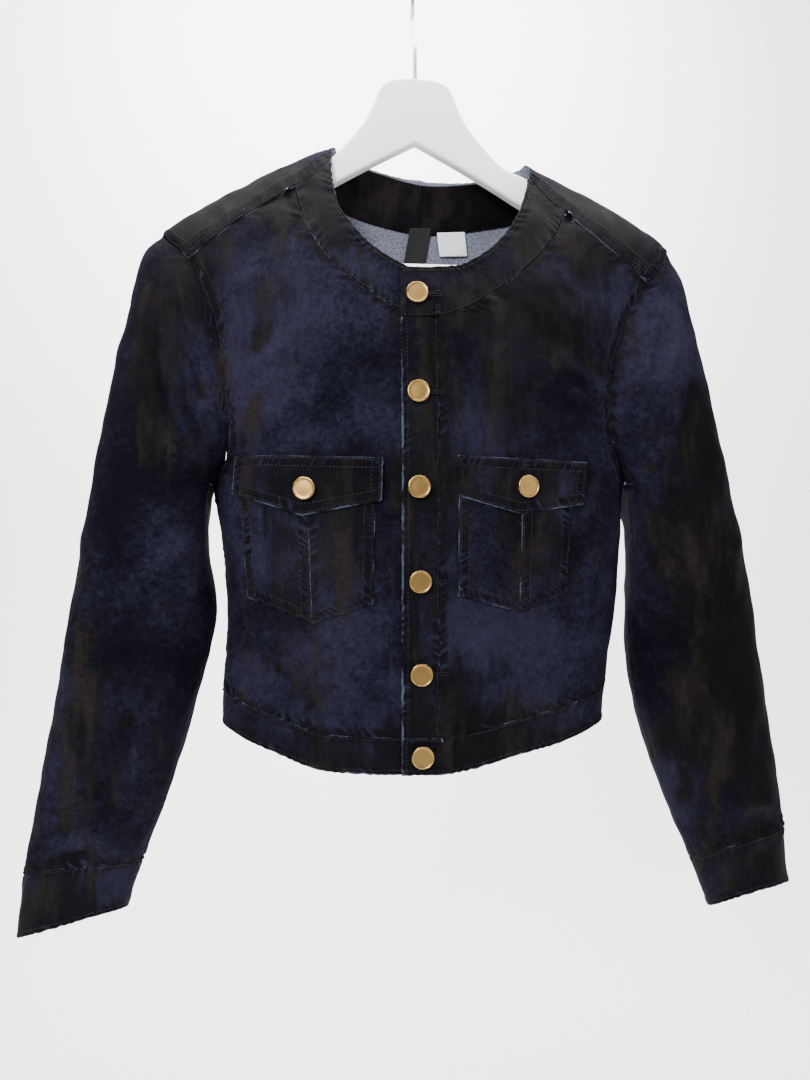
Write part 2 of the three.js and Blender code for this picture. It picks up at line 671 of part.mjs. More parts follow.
// Moves the last or first points of a grid away from the neighbouring piece.
function trimGrid(grid, { top = 0, bottom = 0, first = 0, last = 0 }) {
  const out = grid.map((row) => row.map((point) => point.clone()));
  const rows = grid.length - 1;
  const cols = grid[0].length - 1;
  const shift = (point, towards, amount) => {
    point.addScaledVector(towards.clone().sub(point).normalize(), amount);
  };
  for (let c = 0; c <= cols; c += 1) {
    shift(out[0][c], grid[1][c], top);
    shift(out[rows][c], grid[rows - 1][c], bottom);
  }
  for (let r = 0; r <= rows; r += 1) {
    shift(out[r][0], grid[r][1], first);
    shift(out[r][cols], grid[r][cols - 1], last);
  }
  return out;
}

// Rows of a front from its top to under the arm, each from its inner to its outer place.
function frontPlaces(side) {
  const seam = YOKE_SEAM_SHARES.map((share, i) => [
    { x: NECKBAND[side][i].seamX, z: NECKBAND[side][i].seamZ },
    yokeSeamPlace(side, share, YOKE_SEAM_DROP),
  ]);
  const armhole = ARMHOLE_ROWS[side].map((row) => [
    { x: row.seamX, z: row.seamZ },
    { x: row.outX, z: row.outZ },
  ]);
  return [...seam, ...armhole];
}

// Sag of a front's first rows, which follow the yoke seam's curve less and less.
function seamBow(side, i, t) {
  if (i >= YOKE_SEAM_SHARES.length) {
    return 0;
  }
  const end = YOKE_SEAM_SHARES[i];
  const height = (share) => yokeSeamPlace(side, share).z;
  const chord = lerp(height(YOKE_SEAM_NECKBAND), height(end), t);
  const curve = height(lerp(YOKE_SEAM_NECKBAND, end, t));
  return (curve - chord) * (1 - i / YOKE_SEAM_SHARES.length);
}

// Fronts, from the neckband and yoke seams down to the waist seam.
const FRONT_STEPS = 11;
function frontGrid(side) {
  const lifted = side === 'right';
  const grid = frontPlaces(side).map(([inner, outer], i) => bodyRow(
    inner, outer, -1, FRONT_STEPS, lifted, 0, (t) => seamBow(side, i, t)));
  grid[0] = grid[0].map((point, i) => {
    const share = lerp(YOKE_SEAM_NECKBAND, YOKE_SEAM_SHARES[0], i / FRONT_STEPS);
    const place = yokeSeamPlace(side, share, YOKE_SEAM_DROP);
    return bodyPoint(place.x, place.z, -1, lifted);
  });
  const innerX = lifted ? PLACKET_SEAM_X : UNDERLAP_X;
  for (const row of SIDE_ROWS) {
    const sideX = sideSign(side) * halfWidth(sideSign(side), row.side);
    grid.push(bodyRow(
      { x: innerX, z: row.front }, { x: sideX, z: row.side }, -1, FRONT_STEPS, lifted, row.bend));
  }
  return outwards(grid, side);
}

function frontPanel(side) {
  const clear = { bottom: HALF_GAP, first: HALF_GAP, last: HALF_GAP };
  return trimGrid(frontGrid(side), clear);
}

// Back, from the yoke seam down to the waist seam.
const BACK_STEPS = 20;
function backGrid() {
  const grid = BACK_ARMHOLE.left.map((left, i) => {
    const right = BACK_ARMHOLE.right[i];
    return bodyRow(left, right, 1, BACK_STEPS, false);
  });
  for (const row of SIDE_ROWS) {
    const left = { x: -halfWidth(-1, row.side), z: row.side };
    const right = { x: halfWidth(1, row.side), z: row.side };
    grid.push(bodyRow(left, right, 1, BACK_STEPS, false));
  }
  return flip(grid);
}

// Yoke over both shoulders and across the back, from the neck edge out.
function yokeEnds() {
  const neck = YOKE_NECK.left.map(ridgePlace);
  const outer = YOKE_ARMHOLE.left.map(ridgePlace);
  const neckFrom = YOKE_NECK.left[YOKE_NECK.left.length - 1];
  const neckTo = YOKE_NECK.right[YOKE_NECK.right.length - 1];
  const seamFrom = YOKE_ARMHOLE.left[YOKE_ARMHOLE.left.length - 1];
  const seamTo = YOKE_ARMHOLE.right[YOKE_ARMHOLE.right.length - 1];
  const between = (from, to, t, low) => (
    ridgePlace({ x: lerp(from.x, to.x, t), z: lerp(from.z, to.z, t) - low, face: 1 }));
  for (let i = 1; i < BACK_YOKE_STEPS; i += 1) {
    const t = i / BACK_YOKE_STEPS;
    neck.push(between(neckFrom, neckTo, t, BACK_NECK_LOW * 4 * t * (1 - t)));
    outer.push(between(seamFrom, seamTo, t, 0));
  }
  neck.push(...YOKE_NECK.right.map(ridgePlace).reverse());
  outer.push(...YOKE_ARMHOLE.right.map(ridgePlace).reverse());
  return { neck, outer };
}

function yokeGrid() {
  const { neck, outer } = yokeEnds();
  const grid = [];
  for (const v of YOKE_LEVELS) {
    grid.push(neck.map((from, i) => {
      const to = outer[i];
      const x = lerp(from.x, to.x, v);
      const bow = Math.pow(v, from.q < 0 ? YOKE_SEAM_BOW : 1);
      return ridgePoint(x, lerp(from.q, to.q, bow));
    }));
  }
  return grid;
}

// Neckband fronts, from the neck edge to the seam under them.
const NECKBAND_STEPS = 4;
function neckbandGrid(side) {
  const lifted = side === 'right';
  const grid = NECKBAND[side].map((row, r) => {
    const line = [];
    for (let i = 0; i <= NECKBAND_STEPS; i += 1) {
      const t = i / NECKBAND_STEPS;
      if (r === 0) {
        const place = yokeSeamPlace(side, t * YOKE_SEAM_NECKBAND, YOKE_SEAM_DROP);
        line.push(bodyPoint(place.x, place.z, -1, lifted));
        continue;
      }
      const x = lerp(row.edgeX, row.seamX, t);
      line.push(bodyPoint(x, lerp(row.edgeZ, row.seamZ, t), -1, lifted));
    }
    return line;
  });
  return outwards(grid, side);
}

// Button placket on the lapping edge.
const PLACKET_STEPS = 3;
const PLACKET_ROWS = 24;
const PLACKET_TOP_Z = -302.5;
function placketGrid(top, bottom, rows) {
  const grid = [];
  for (let j = 0; j <= rows; j += 1) {
    const line = [];
    for (let i = 0; i <= PLACKET_STEPS; i += 1) {
      const x = lerp(LAP_EDGE_X, PLACKET_SEAM_X, i / PLACKET_STEPS);
      line.push(bodyPoint(x, lerp(top, bottom, j / rows), -1, true));
    }
    grid.push(line);
  }
  return grid;
}

// Waistband pieces, from the waist seam to the hem.
const WAISTBAND_STEPS = 3;
const BAND_REACH = 200;
function waistbandGrid(fromX, toX, face, steps, lifted) {
  const grid = [];
  for (let j = 0; j <= WAISTBAND_STEPS; j += 1) {
    const level = lerp(WAIST_SEAM_Z, HEM_Z, j / WAISTBAND_STEPS);
    const end = (x) => {
      const z = level + (face < 0 ? hemRise(x) : hemRise(halfWidth(-1, level)));
      return { x: Math.sign(x) * Math.min(Math.abs(x), halfWidth(x, z)), z };
    };
    grid.push(bodyRow(end(fromX), end(toX), face, steps, lifted, face < 0 ? 1 : 0));
  }
  return grid;
}

// Armhole loop, from the shoulder line down the front, under the arm and up the back.
function armholeLoop(side) {
  const yoke = YOKE_ARMHOLE[side].map((row) => {
    const place = ridgePlace(row);
    return ridgePoint(place.x, place.q);
  });
  const lifted = side === 'right';
  const front = ARMHOLE_ROWS[side].slice(0, -1);
  const back = BACK_ARMHOLE[side].slice(1, BACK_ARMHOLE[side].length - 1).reverse();
  const under = BACK_ARMHOLE[side][BACK_ARMHOLE[side].length - 1];
  const ridgeRow = YOKE_ARMHOLE[side].findIndex((row) => row.face === 0);
  return [
    ...yoke.slice(0, ridgeRow + 1).reverse(),
    ...front.map((row) => bodyPoint(row.outX, row.outZ, -1, lifted)),
    new THREE.Vector3(under.x, 0, under.z),
    ...back.map((row) => bodyPoint(row.x, row.z, 1)),
    ...yoke.slice(ridgeRow + 1).reverse(),
  ];
}

function sectionPoint(row, cos, sin) {
  const midX = (row.outX + row.inX) / 2;
  const midZ = (row.outZ + row.inZ) / 2;
  const deep = sin > 0 ? -row.front : row.back;
  const y = deep * Math.pow(Math.abs(sin), SLEEVE_ROUNDNESS) - row.swing;
  const z = midZ + (row.outZ - row.inZ) / 2 * cos + row.scoop * Math.max(0, sin);
  return new THREE.Vector3(midX + (row.outX - row.inX) / 2 * cos, y, z);
}

// Keeps a sleeve's point outside the body, below the armhole's turn under the arm.
function clearOfBody(side, point, share) {
  const front = ARMHOLE_ROWS[side].map((row) => ({ x: Math.abs(row.outX), z: row.outZ }));
  const back = BACK_ARMHOLE[side].map((row) => ({ x: Math.abs(row.x), z: row.z }));
  const table = (point.y < 0 ? front : back).slice(-UNDERARM_ROWS);
  const low = table[UNDERARM_ROWS - 1].z;
  if (point.z > table[0].z) {
    return point;
  }
  let edge = column(table, 'z', 'x', Math.max(low, point.z));
  if (point.z < low) {
    const depth = column(BODY_SECTIONS, 'z', point.y < 0 ? 'front' : 'back', point.z);
    const part = Math.pow(clamp01(Math.abs(point.y) / depth), 2 / BODY_ROUNDNESS);
    edge = halfWidth(point.x, point.z) * Math.sqrt(1 - part);
  }
  const x = Math.max(Math.abs(point.x), edge + SLEEVE_CLEAR * share);
  return new THREE.Vector3(sideSign(side) * x, point.y, point.z);
}

// Depth of a sleeve's folds at a place along it and an angle around it.
function sleeveFold(side, at, angle) {
  let deep = 0;
  for (const fold of SLEEVE_FOLDS[side]) {
    const along = (at - fold.at) / fold.long;
    const centre = fold.angle + fold.twist * (at - fold.at);
    const turn = ((angle - centre + 540) % 360) - 180;
    deep += fold.deep * Math.exp(-along * along - (turn / fold.wide) ** 2);
  }
  return deep;
}

// Sleeve or cuff rings between two fractional sections.
function sleeveGrid(side, from, to, steps) {
  const sections = SLEEVE_SECTIONS[side];
  const loop = armholeLoop(side);
  const first = sections[0];
  const turns = loop.map((point, i) => {
    const share = clamp01((point.z - first.inZ) / (first.outZ - first.inZ));
    const angle = Math.acos(2 * share - 1);
    return point.y > 0 ? 2 * Math.PI - angle : angle;
  });
  const grid = [];
  for (let j = 0; j <= steps; j += 1) {
    const place = lerp(from, to, j / steps);
    const row = rowAt(sections, place);
    grid.push(loop.map((point, i) => {
      const cos = Math.cos(turns[i]);
      const sin = Math.sin(turns[i]);
      const shaped = sectionPoint(row, cos, sin);
      const start = sectionPoint(first, cos, sin);
      shaped.addScaledVector(point.clone().sub(start), clamp01(row.hole));
      return clearOfBody(side, shaped, clamp01(place));
    }));
  }
  const ordered = side === 'left' ? grid : flip(grid);
  const order = side === 'left' ? turns : turns.slice().reverse();
  const normals = ordered.map((row, r) => row.map((point, c) => gridNormal(ordered, r, c, true)));
  return ordered.map((row, r) => row.map((point, c) => {
    const at = lerp(from, to, r / steps) / CUFF_SECTION;
    const fade = smooth(at / FOLD_FADE_TOP) * smooth((1 - at) / FOLD_FADE_LOW);
    const deep = sleeveFold(side, at, THREE.MathUtils.radToDeg(order[c])) * fade;
    return point.clone().addScaledVector(normals[r][c], -deep);
  }));
}

// Point on the outside of a front panel at a lift above it.
function frontSkin(side, x, z, lift) {
  const lifted = side === 'right';
  const step = 1;
  const point = bodyPoint(x, z, -1, lifted);
  const across = bodyPoint(x + step, z, -1, lifted).sub(bodyPoint(x - step, z, -1, lifted));
  const down = bodyPoint(x, z - step, -1, lifted).sub(bodyPoint(x, z + step, -1, lifted));
  return point.addScaledVector(down.cross(across).normalize(), lift);
}

// Four-sided patch on a front panel between two edges of a pocket or flap.
function patchGrid(side, from, to, lift, cols, rows, trimFrom, trimTo) {
  const grid = [];
  for (let j = 0; j <= rows; j += 1) {
    const line = [];
    for (let i = 0; i <= cols; i += 1) {
      const v = j / rows;
      const a = { x: lerp(from.topX, from.lowX, v), z: lerp(from.topZ, from.lowZ, v) };
      const b = { x: lerp(to.topX, to.lowX, v), z: lerp(to.topZ, to.lowZ, v) };
      const span = Math.hypot(b.x - a.x, b.z - a.z);
      const u = lerp(trimFrom / span, 1 - trimTo / span, i / cols);
      line.push(frontSkin(side, lerp(a.x, b.x, u), lerp(a.z, b.z, u), lift));
    }
    grid.push(line);
  }
  return outwards(grid, side);
}

const POCKET_COLS = 5;
const POCKET_ROWS = 7;
const FLAP_COLS = 5;
const FLAP_ROWS = 3;
function addPocket(side) {
  const [outer, middle, inner] = POCKETS[side];
  const lift = POCKET_LIFT + POCKET_WALL;
  const halves = [
    ['outer', middle, outer],
    ['inner', inner, middle],
  ];
  for (const [name, a, b] of halves) {
    const trims = name === 'outer' ? [HALF_GAP, 0] : [0, HALF_GAP];
    const grid = patchGrid(side, a, b, lift, POCKET_COLS, POCKET_ROWS, ...trims);
    add(`pocket_${side}_${name}_half`, clothGeometry(grid, POCKET_WALL), denim());
  }
}

function addFlap(side) {
  const [outer, middle, inner] = FLAPS[side];
  const lift = FLAP_LIFT + FLAP_WALL;
  const near = patchGrid(side, inner, middle, lift, FLAP_COLS, FLAP_ROWS, 0, 0);
  const far = patchGrid(side, middle, outer, lift, FLAP_COLS, FLAP_ROWS, 0, 0);
  const joined = near.map((row, r) => (
    side === 'left' ? [...far[r], ...row.slice(1)] : [...row, ...far[r].slice(1)]));
  add(`flap_${side}`, clothGeometry(joined, FLAP_WALL), denim());
}

// Button turned about its shank, its foot at a point and its face along a direction.
function buttonGeometry(foot, outward) {
  const face = SHANK_LONG + BUTTON_DISC;
  const profile = [
    [0, 0],
    [SHANK_R, 0],
    [SHANK_R, SHANK_LONG],
    [BUTTON_R - BUTTON_EDGE, SHANK_LONG],
    [BUTTON_R, SHANK_LONG + BUTTON_EDGE],
    [BUTTON_R - BUTTON_DISH, face],
    [BUTTON_R - BUTTON_RIM, face],
    [BUTTON_R - BUTTON_RIM - BUTTON_DISH, face - BUTTON_DISH],
    [0, face - BUTTON_DISH],
  ].map(([r, y]) => new THREE.Vector2(r, y));
  const geometry = new THREE.LatheGeometry(profile, BUTTON_SIDES);
  const turn = new THREE.Quaternion().setFromUnitVectors(new THREE.Vector3(0, 1, 0), outward);
  geometry.applyQuaternion(turn);
  geometry.translate(foot.x, foot.y, foot.z);
  return geometry;
}

function addButton(name, side, place, lift) {
  const foot = frontSkin(side, place.x, place.z, lift + GAP);
  const above = frontSkin(side, place.x, place.z, lift + GAP + 1);
  add(name, buttonGeometry(foot, above.sub(foot).normalize()), brass());
}

// Facing inside the back neck, lying against the yoke.
const FACING_STEPS = 3;
const FACING_COLS = 20;
function facingGrid() {
  const grid = [];
  for (let j = 0; j <= FACING_STEPS; j += 1) {
    const line = [];
    for (let i = 0; i <= FACING_COLS; i += 1) {
      const place = i / FACING_COLS;
      const top = rowAt(FACING_TOP, place * (FACING_TOP.length - 1));
      const low = rowAt(FACING_LOW, place * (FACING_LOW.length - 1));
      const v = j / FACING_STEPS;
      line.push(bodyPoint(lerp(top.x, low.x, v), lerp(top.z, low.z, v), 1));
    }
    grid.push(line);
  }
  return moveOut(flip(grid), -CLOTH - GAP);
}

// Label hanging inside the back, in front of the facing.
const LABEL_STEPS = 4;
function labelGrid(label) {
  const grid = [];
  for (let j = 0; j <= LABEL_STEPS; j += 1) {
    const line = [];
    for (let i = 0; i <= LABEL_STEPS; i += 1) {
      const u = i / LABEL_STEPS;
      const v = j / LABEL_STEPS;
      const x = lerp(label.x0, label.x1, u) + label.lowShift * v;
      const z = lerp(label.z0, label.z1, u) - label.tall * v;
      line.push(bodyPoint(x, z, 1));
    }
    grid.push(line);
  }
  return moveOut(flip(grid), -CLOTH - GAP - FACING_WALL - GAP);
}

function hangerGeometry() {
  const right = HANGER_HALF.map((row) => new THREE.Vector2(row.x, row.z));
  const left = HANGER_HALF.slice(1, -1).reverse().map((row) => new THREE.Vector2(-row.x, row.z));
  const geometry = new THREE.ExtrudeGeometry(new THREE.Shape([...right, ...left].reverse()), {
    depth: HANGER_THICK - 2 * HANGER_BEVEL,
    bevelThickness: HANGER_BEVEL,
    bevelSize: HANGER_BEVEL,
    bevelOffset: -HANGER_BEVEL,
    bevelSegments: 1,
  });
  geometry.rotateX(Math.PI / 2);
  geometry.translate(0, HANGER_THICK / 2 - HANGER_BEVEL, 0);
  return geometry;
}

function barGeometry() {
  const geometry = new THREE.CylinderGeometry(BAR_R, BAR_R, 2 * BAR_HALF, BAR_SIDES);
  geometry.rotateZ(Math.PI / 2);
  geometry.translate(0, 0, BAR_Z);
  return geometry;
}

// Closed wire along a path, with round ends.
function hookGeometry() {
  const ring = HOOK_R + WIRE_R;
  const centre = -HOOK_R;
  const arc = (degrees) => {
    const angle = THREE.MathUtils.degToRad(degrees);
    return new THREE.Vector3(0, ring * Math.cos(angle), centre + ring * Math.sin(angle));
  };
  const path = new THREE.CatmullRomCurve3([
    new THREE.Vector3(0, 0, HOOK_FOOT_Z),
    new THREE.Vector3(0, 0, HOOK_STEM_Z - 10),
    new THREE.Vector3(0, 0.6, HOOK_STEM_Z),
    new THREE.Vector3(0, 5, HOOK_STEM_Z + 11),
    ...HOOK_TURNS.map(arc),
  ], false, 'centripetal');
  const wire = new THREE.Shape();
  wire.absarc(0, 0, WIRE_R, 0, 2 * Math.PI);
  return new THREE.ExtrudeGeometry(wire, {
    steps: HOOK_STEPS,
    curveSegments: HOOK_SIDES,
    extrudePath: path,
    bevelEnabled: false,
  });
}

for (const side of ['left', 'right']) {
  add(`front_${side}`, clothGeometry(frontPanel(side), CLOTH), denim());
  const band = trimGrid(neckbandGrid(side), {
    first: side === 'left' ? HALF_GAP : 0,
    last: side === 'left' ? 0 : HALF_GAP,
  });
  add(`neckband_${side}`, clothGeometry(band, BAND_WALL), denim());
}
const yoke = trimGrid(yokeGrid(), { bottom: HALF_GAP });
add('yoke', clothGeometry(flip(yoke), CLOTH), denim());
const backClear = { top: HALF_GAP, bottom: HALF_GAP, first: HALF_GAP, last: HALF_GAP };
add('back', clothGeometry(trimGrid(backGrid(), backClear), CLOTH), denim());
add('back_neck_facing', clothGeometry(facingGrid(), FACING_WALL), denimInside());
const placket = trimGrid(placketGrid(PLACKET_TOP_Z, WAIST_SEAM_Z, PLACKET_ROWS), {
  top: HALF_GAP,
  bottom: HALF_GAP,
  last: HALF_GAP,
});
add('placket', clothGeometry(placket, BAND_WALL), denim());

const bandClear = { top: HALF_GAP, last: HALF_GAP };
const leftBand = trimGrid(waistbandGrid(UNDERLAP_X, -BAND_REACH, -1, 16, false), bandClear);
add('waistband_left', clothGeometry(flip(leftBand), BAND_WALL), denim());
const rightBand = trimGrid(waistbandGrid(LAP_EDGE_X, BAND_REACH, -1, 18, true), bandClear);
add('waistband_right', clothGeometry(rightBand, BAND_WALL), denim());
const backBand = trimGrid(waistbandGrid(-BAND_REACH, BAND_REACH, 1, 26, false), {
  top: HALF_GAP,
  first: HALF_GAP,
  last: HALF_GAP,
});
add('waistband_back', clothGeometry(flip(backBand), BAND_WALL), denim());

for (const side of ['left', 'right']) {
  const sleeve = sleeveGrid(side, 0, CUFF_SECTION, SLEEVE_STEPS);
  const sleeveClear = { top: SLEEVE_GAP, bottom: HALF_GAP };
  add(`sleeve_${side}`, clothGeometry(trimGrid(sleeve, sleeveClear), CLOTH, true), denim());
  const cuff = sleeveGrid(side, CUFF_SECTION, CUFF_SECTION + 1, CUFF_STEPS);
  add(`cuff_${side}`, clothGeometry(trimGrid(cuff, { top: HALF_GAP }), CUFF_WALL, true), denim());
  addPocket(side);
  addFlap(side);
  addButton(`button_pocket_${side}`, side, POCKET_BUTTONS[side], FLAP_LIFT + FLAP_WALL);
}
FRONT_BUTTONS.forEach((place, i) => addButton(`button_front_${i + 1}`, 'right', place, 0));

add('label_black', clothGeometry(labelGrid(LABELS.black), LABEL_WALL), blackTape());
add('label_white', clothGeometry(labelGrid(LABELS.white), LABEL_WALL), whiteTape());
add('hanger_wood', hangerGeometry(), paintedWood());
add('hanger_bar', barGeometry(), paintedWood());
add('hanger_hook', hookGeometry(), steel());

export default parts;
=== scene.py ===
import math

import bpy
import numpy as np
from bpy.props import FloatProperty, FloatVectorProperty, PointerProperty
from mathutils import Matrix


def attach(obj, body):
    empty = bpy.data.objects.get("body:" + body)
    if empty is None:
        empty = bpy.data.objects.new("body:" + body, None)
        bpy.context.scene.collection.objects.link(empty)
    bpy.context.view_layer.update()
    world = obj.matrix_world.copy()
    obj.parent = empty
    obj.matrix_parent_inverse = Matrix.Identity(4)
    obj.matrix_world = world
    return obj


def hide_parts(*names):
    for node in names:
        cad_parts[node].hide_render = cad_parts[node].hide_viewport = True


bl_info = {
    "name": "Denim jacket on a hanger",
    "version": (1, 0, 0),
    "blender": (4, 5, 0),
    "location": "3D View > Sidebar > Jacket",
    "description": "Builds the cloth, stitching, buttons and hanger of a short denim jacket",
    "category": "Add Mesh",
}

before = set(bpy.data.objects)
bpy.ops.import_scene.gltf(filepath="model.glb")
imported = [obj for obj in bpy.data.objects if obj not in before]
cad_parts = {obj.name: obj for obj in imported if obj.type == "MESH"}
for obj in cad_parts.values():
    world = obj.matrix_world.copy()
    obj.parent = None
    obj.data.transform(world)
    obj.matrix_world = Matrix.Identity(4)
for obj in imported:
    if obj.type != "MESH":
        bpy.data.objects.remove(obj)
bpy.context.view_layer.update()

# The shapes are worked out in millimetres in the CAD's frame and put into metres at the end.
MM = 0.001


def table(names, rows):
    """Columns of a short table, by their names."""
    return dict(zip(names.split(), np.array(rows, float).T))


# Body sections: height, half width to the left and right, depth to the front and back.
BODY = table("z left right front back", [
    (-126, 3, 6, 4, 7), (-132, 25, 29, 5, 9), (-140, 47, 51, 7, 12), (-149, 68, 73, 9, 16),
    (-164, 104, 107, 14, 22), (-178, 131, 136, 19, 28), (-191, 154, 161, 24, 33),
    (-204, 176, 185, 29, 38), (-217, 195, 205, 34, 42), (-230, 208, 217, 38, 45),
    (-245, 208, 219, 42, 48), (-260, 203, 215, 46, 50), (-280, 195, 207, 51, 53),
    (-310, 184, 196, 56, 55), (-350, 174, 186, 61, 57), (-390, 168, 180, 65, 58),
    (-428, 163.5, 175, 67, 57), (-473, 159, 172.5, 67, 54), (-505, 155.5, 170.5, 66, 53),
    (-540, 154, 167, 66, 53), (-573, 156, 162, 65, 54), (-600, 158, 159, 65, 54),
    (-650, 156, 155, 64, 55),
])

# Neckband of each front: the neck edge and the seam below it.
NECKBAND = {
    "left": table("edgeX edgeZ seamX seamZ", [
        (-70.5, -166, -98, -187.5), (-69.5, -179, -97.5, -196), (-67, -194, -95.5, -206),
        (-64, -206, -91.5, -219), (-59, -216, -85, -233), (-53, -225, -76.5, -247),
        (-46, -234, -66, -259), (-38, -242, -53.5, -271), (-29, -249, -40, -281),
        (-21, -254.5, -28, -289.5), (-10, -260, -14, -297), (9, -264, 9, -302),
    ]),
    "right": table("edgeX edgeZ seamX seamZ", [
        (94, -174.5, 117.9, -199.5), (91, -184, 118.6, -208), (87.5, -194, 116.5, -216),
        (84, -203.5, 112, -225), (79, -213, 105, -235.5), (73, -223, 96, -246),
        (66, -232, 85, -257), (58, -240.5, 73, -268), (49, -247.5, 60, -277.5),
        (39, -253.5, 46, -287), (28, -258.5, 31, -295), (12.5, -260.5, 12.5, -301),
        (0, -261, 0, -302), (-16, -262, -16, -302.5),
    ]),
}

# Rows of a front under the yoke: the seam at its inner edge and the armhole.
ARMHOLE = {
    "left": table("seamX seamZ outX outZ", [
        (-14, -297, -173, -268), (9, -302, -165, -288), (9, -318, -159.5, -308),
        (9, -335, -156, -328), (9, -352, -153.5, -347), (9, -369, -151, -366),
        (9, -384, -149, -384), (9, -396, -150.5, -402), (9, -405, -156, -417),
        (9, -411, -161, -424), (9, -416, -163.5, -428),
    ]),
    "right": table("seamX seamZ outX outZ", [
        (31, -295, 180.5, -277), (12.5, -301, 171, -293), (12.5, -318, 164.5, -310),
        (12.5, -335, 159.5, -328), (12.5, -352, 157, -347), (12.5, -369, 156, -366),
        (12.5, -383, 156.5, -384), (12.5, -395, 160, -399), (12.5, -404, 166.5, -412),
        (12.5, -410, 172, -420), (12.5, -415, 175, -425),
    ]),
}

# Lower rows: height at the front edge and at the side seam, and how far they bend.
SIDE = table("front side bend", [
    (-432, -448, 0), (-452, -468, 0.05), (-473, -490, 0.12), (-496, -512, 0.25),
    (-522, -534, 0.45), (-551, -555, 0.65), (-584, -573, 0.85), (-622, -592, 1),
])

# Armhole edge and neck edge of the yoke; face is -1 in front, 0 on the shoulder line.
YOKE_ARMHOLE = {
    "left": table("x z face", [
        (-182, -251, -1), (-191, -242, -1), (-199.5, -235, -1), (-206, 0, 0), (-202.5, -238, 1),
        (-196, -250, 1), (-187, -266, 1), (-179, -282, 1), (-171.5, -300, 1),
    ]),
    "right": table("x z face", [
        (191, -262, -1), (201, -250, -1), (210, -240, -1), (216, 0, 0), (213, -241, 1),
        (206, -254, 1), (196.5, -269, 1), (187.5, -284, 1), (179, -300, 1),
    ]),
}
YOKE_NECK = {
    "left": table("x z face", [
        (-70.5, -166, -1), (-69.5, -158, -1), (-68.5, -152, -1), (-67, 0, 0), (-65, -149.5, 1),
        (-61, -151, 1), (-56, -152.5, 1), (-51, -154, 1), (-45, -156, 1),
    ]),
    "right": table("x z face", [
        (94, -174.5, -1), (94.5, -167, -1), (94.5, -161.5, -1), (93, 0, 0), (90, -158.5, 1),
        (84, -159.5, 1), (78, -161, 1), (71, -162.5, 1), (64, -164, 1),
    ]),
}

# Armhole edge of the back.
BACK_ARMHOLE = {
    "left": table("x z", [
        (-171.5, -300), (-166, -320), (-161.5, -342), (-158.5, -364), (-157, -384),
        (-157.5, -402), (-159.5, -417), (-162.3, -424), (-163.5, -428),
    ]),
    "right": table("x z", [
        (179, -300), (173, -320), (168, -342), (165, -364), (164, -384), (165.5, -401),
        (169.5, -414), (173.2, -421), (175, -425),
    ]),
}

# Rise of the hem away from the centre front.
HEM_RISE = table("x left right", [
    (0, 0, 0), (20, 0, 0), (40, 0, 3), (77, 2.5, 11.5), (90, 6, 14), (107, 12, 16.5),
    (133, 21, 23), (148, 27, 27), (159, 30, 30),
])

# Sleeve sections: outer and inner outline, depths, forward swing, rise of the front edge
# and share of the armhole shape.
SLEEVE = {
    "left": table("outX outZ inX inZ front back swing scoop hole", [
        (-206, -226, -163.5, -428, 26, 30, 0, 0, 1), (-221, -243, -167, -436, 34, 36, 0, 0, 0.75),
        (-232, -288, -168.5, -446, 40, 40, 1, 0, 0.5),
        (-242, -335, -169, -460, 42, 41, 2, 0, 0.28),
        (-252, -385, -168.5, -478, 41, 40, 3, 0, 0.12),
        (-262, -440, -166, -500, 40, 38, 4, 0, 0.04),
        (-270.5, -492, -161.5, -525, 39, 36, 5, 0, 0),
        (-278, -540, -164.5, -552, 37, 34, 6, 0, 0), (-286, -590, -175, -592, 35, 32, 7, 2, 0),
        (-294, -640, -188.5, -642, 33, 30, 8, 5, 0),
        (-302.5, -690, -205.5, -690, 31, 28, 9, 8, 0),
        (-310, -737, -219.5, -729, 28, 26, 10, 11, 0), (-316, -785, -231, -764, 27, 25, 10, 8, 0),
    ]),
    "right": table("outX outZ inX inZ front back swing scoop hole", [
        (216, -229, 175, -425, 26, 30, 0, 0, 1), (228, -252, 179, -434, 34, 36, 0, 0, 0.75),
        (237, -292, 180, -446, 40, 40, 1, 0, 0.5), (247, -338, 181, -462, 42, 41, 2, 0, 0.28),
        (257.5, -385, 181.5, -480, 41, 40, 3, 0, 0.12),
        (267.5, -432, 180.5, -505, 40, 38, 4, 0, 0.04), (276.5, -480, 178, -533, 39, 36, 5, 0, 0),
        (286, -528, 178.5, -560, 37, 34, 6, 0, 0), (292.5, -575, 183, -598, 35, 32, 7, 2, 0),
        (300, -625, 192.5, -638, 33, 30, 8, 5, 0), (306.5, -672, 211, -690, 31, 28, 9, 8, 0),
        (311.5, -716, 233.5, -741, 28, 26, 10, 11, 0),
        (315.5, -764, 249, -782, 27, 25, 10, 14, 0),
    ]),
}

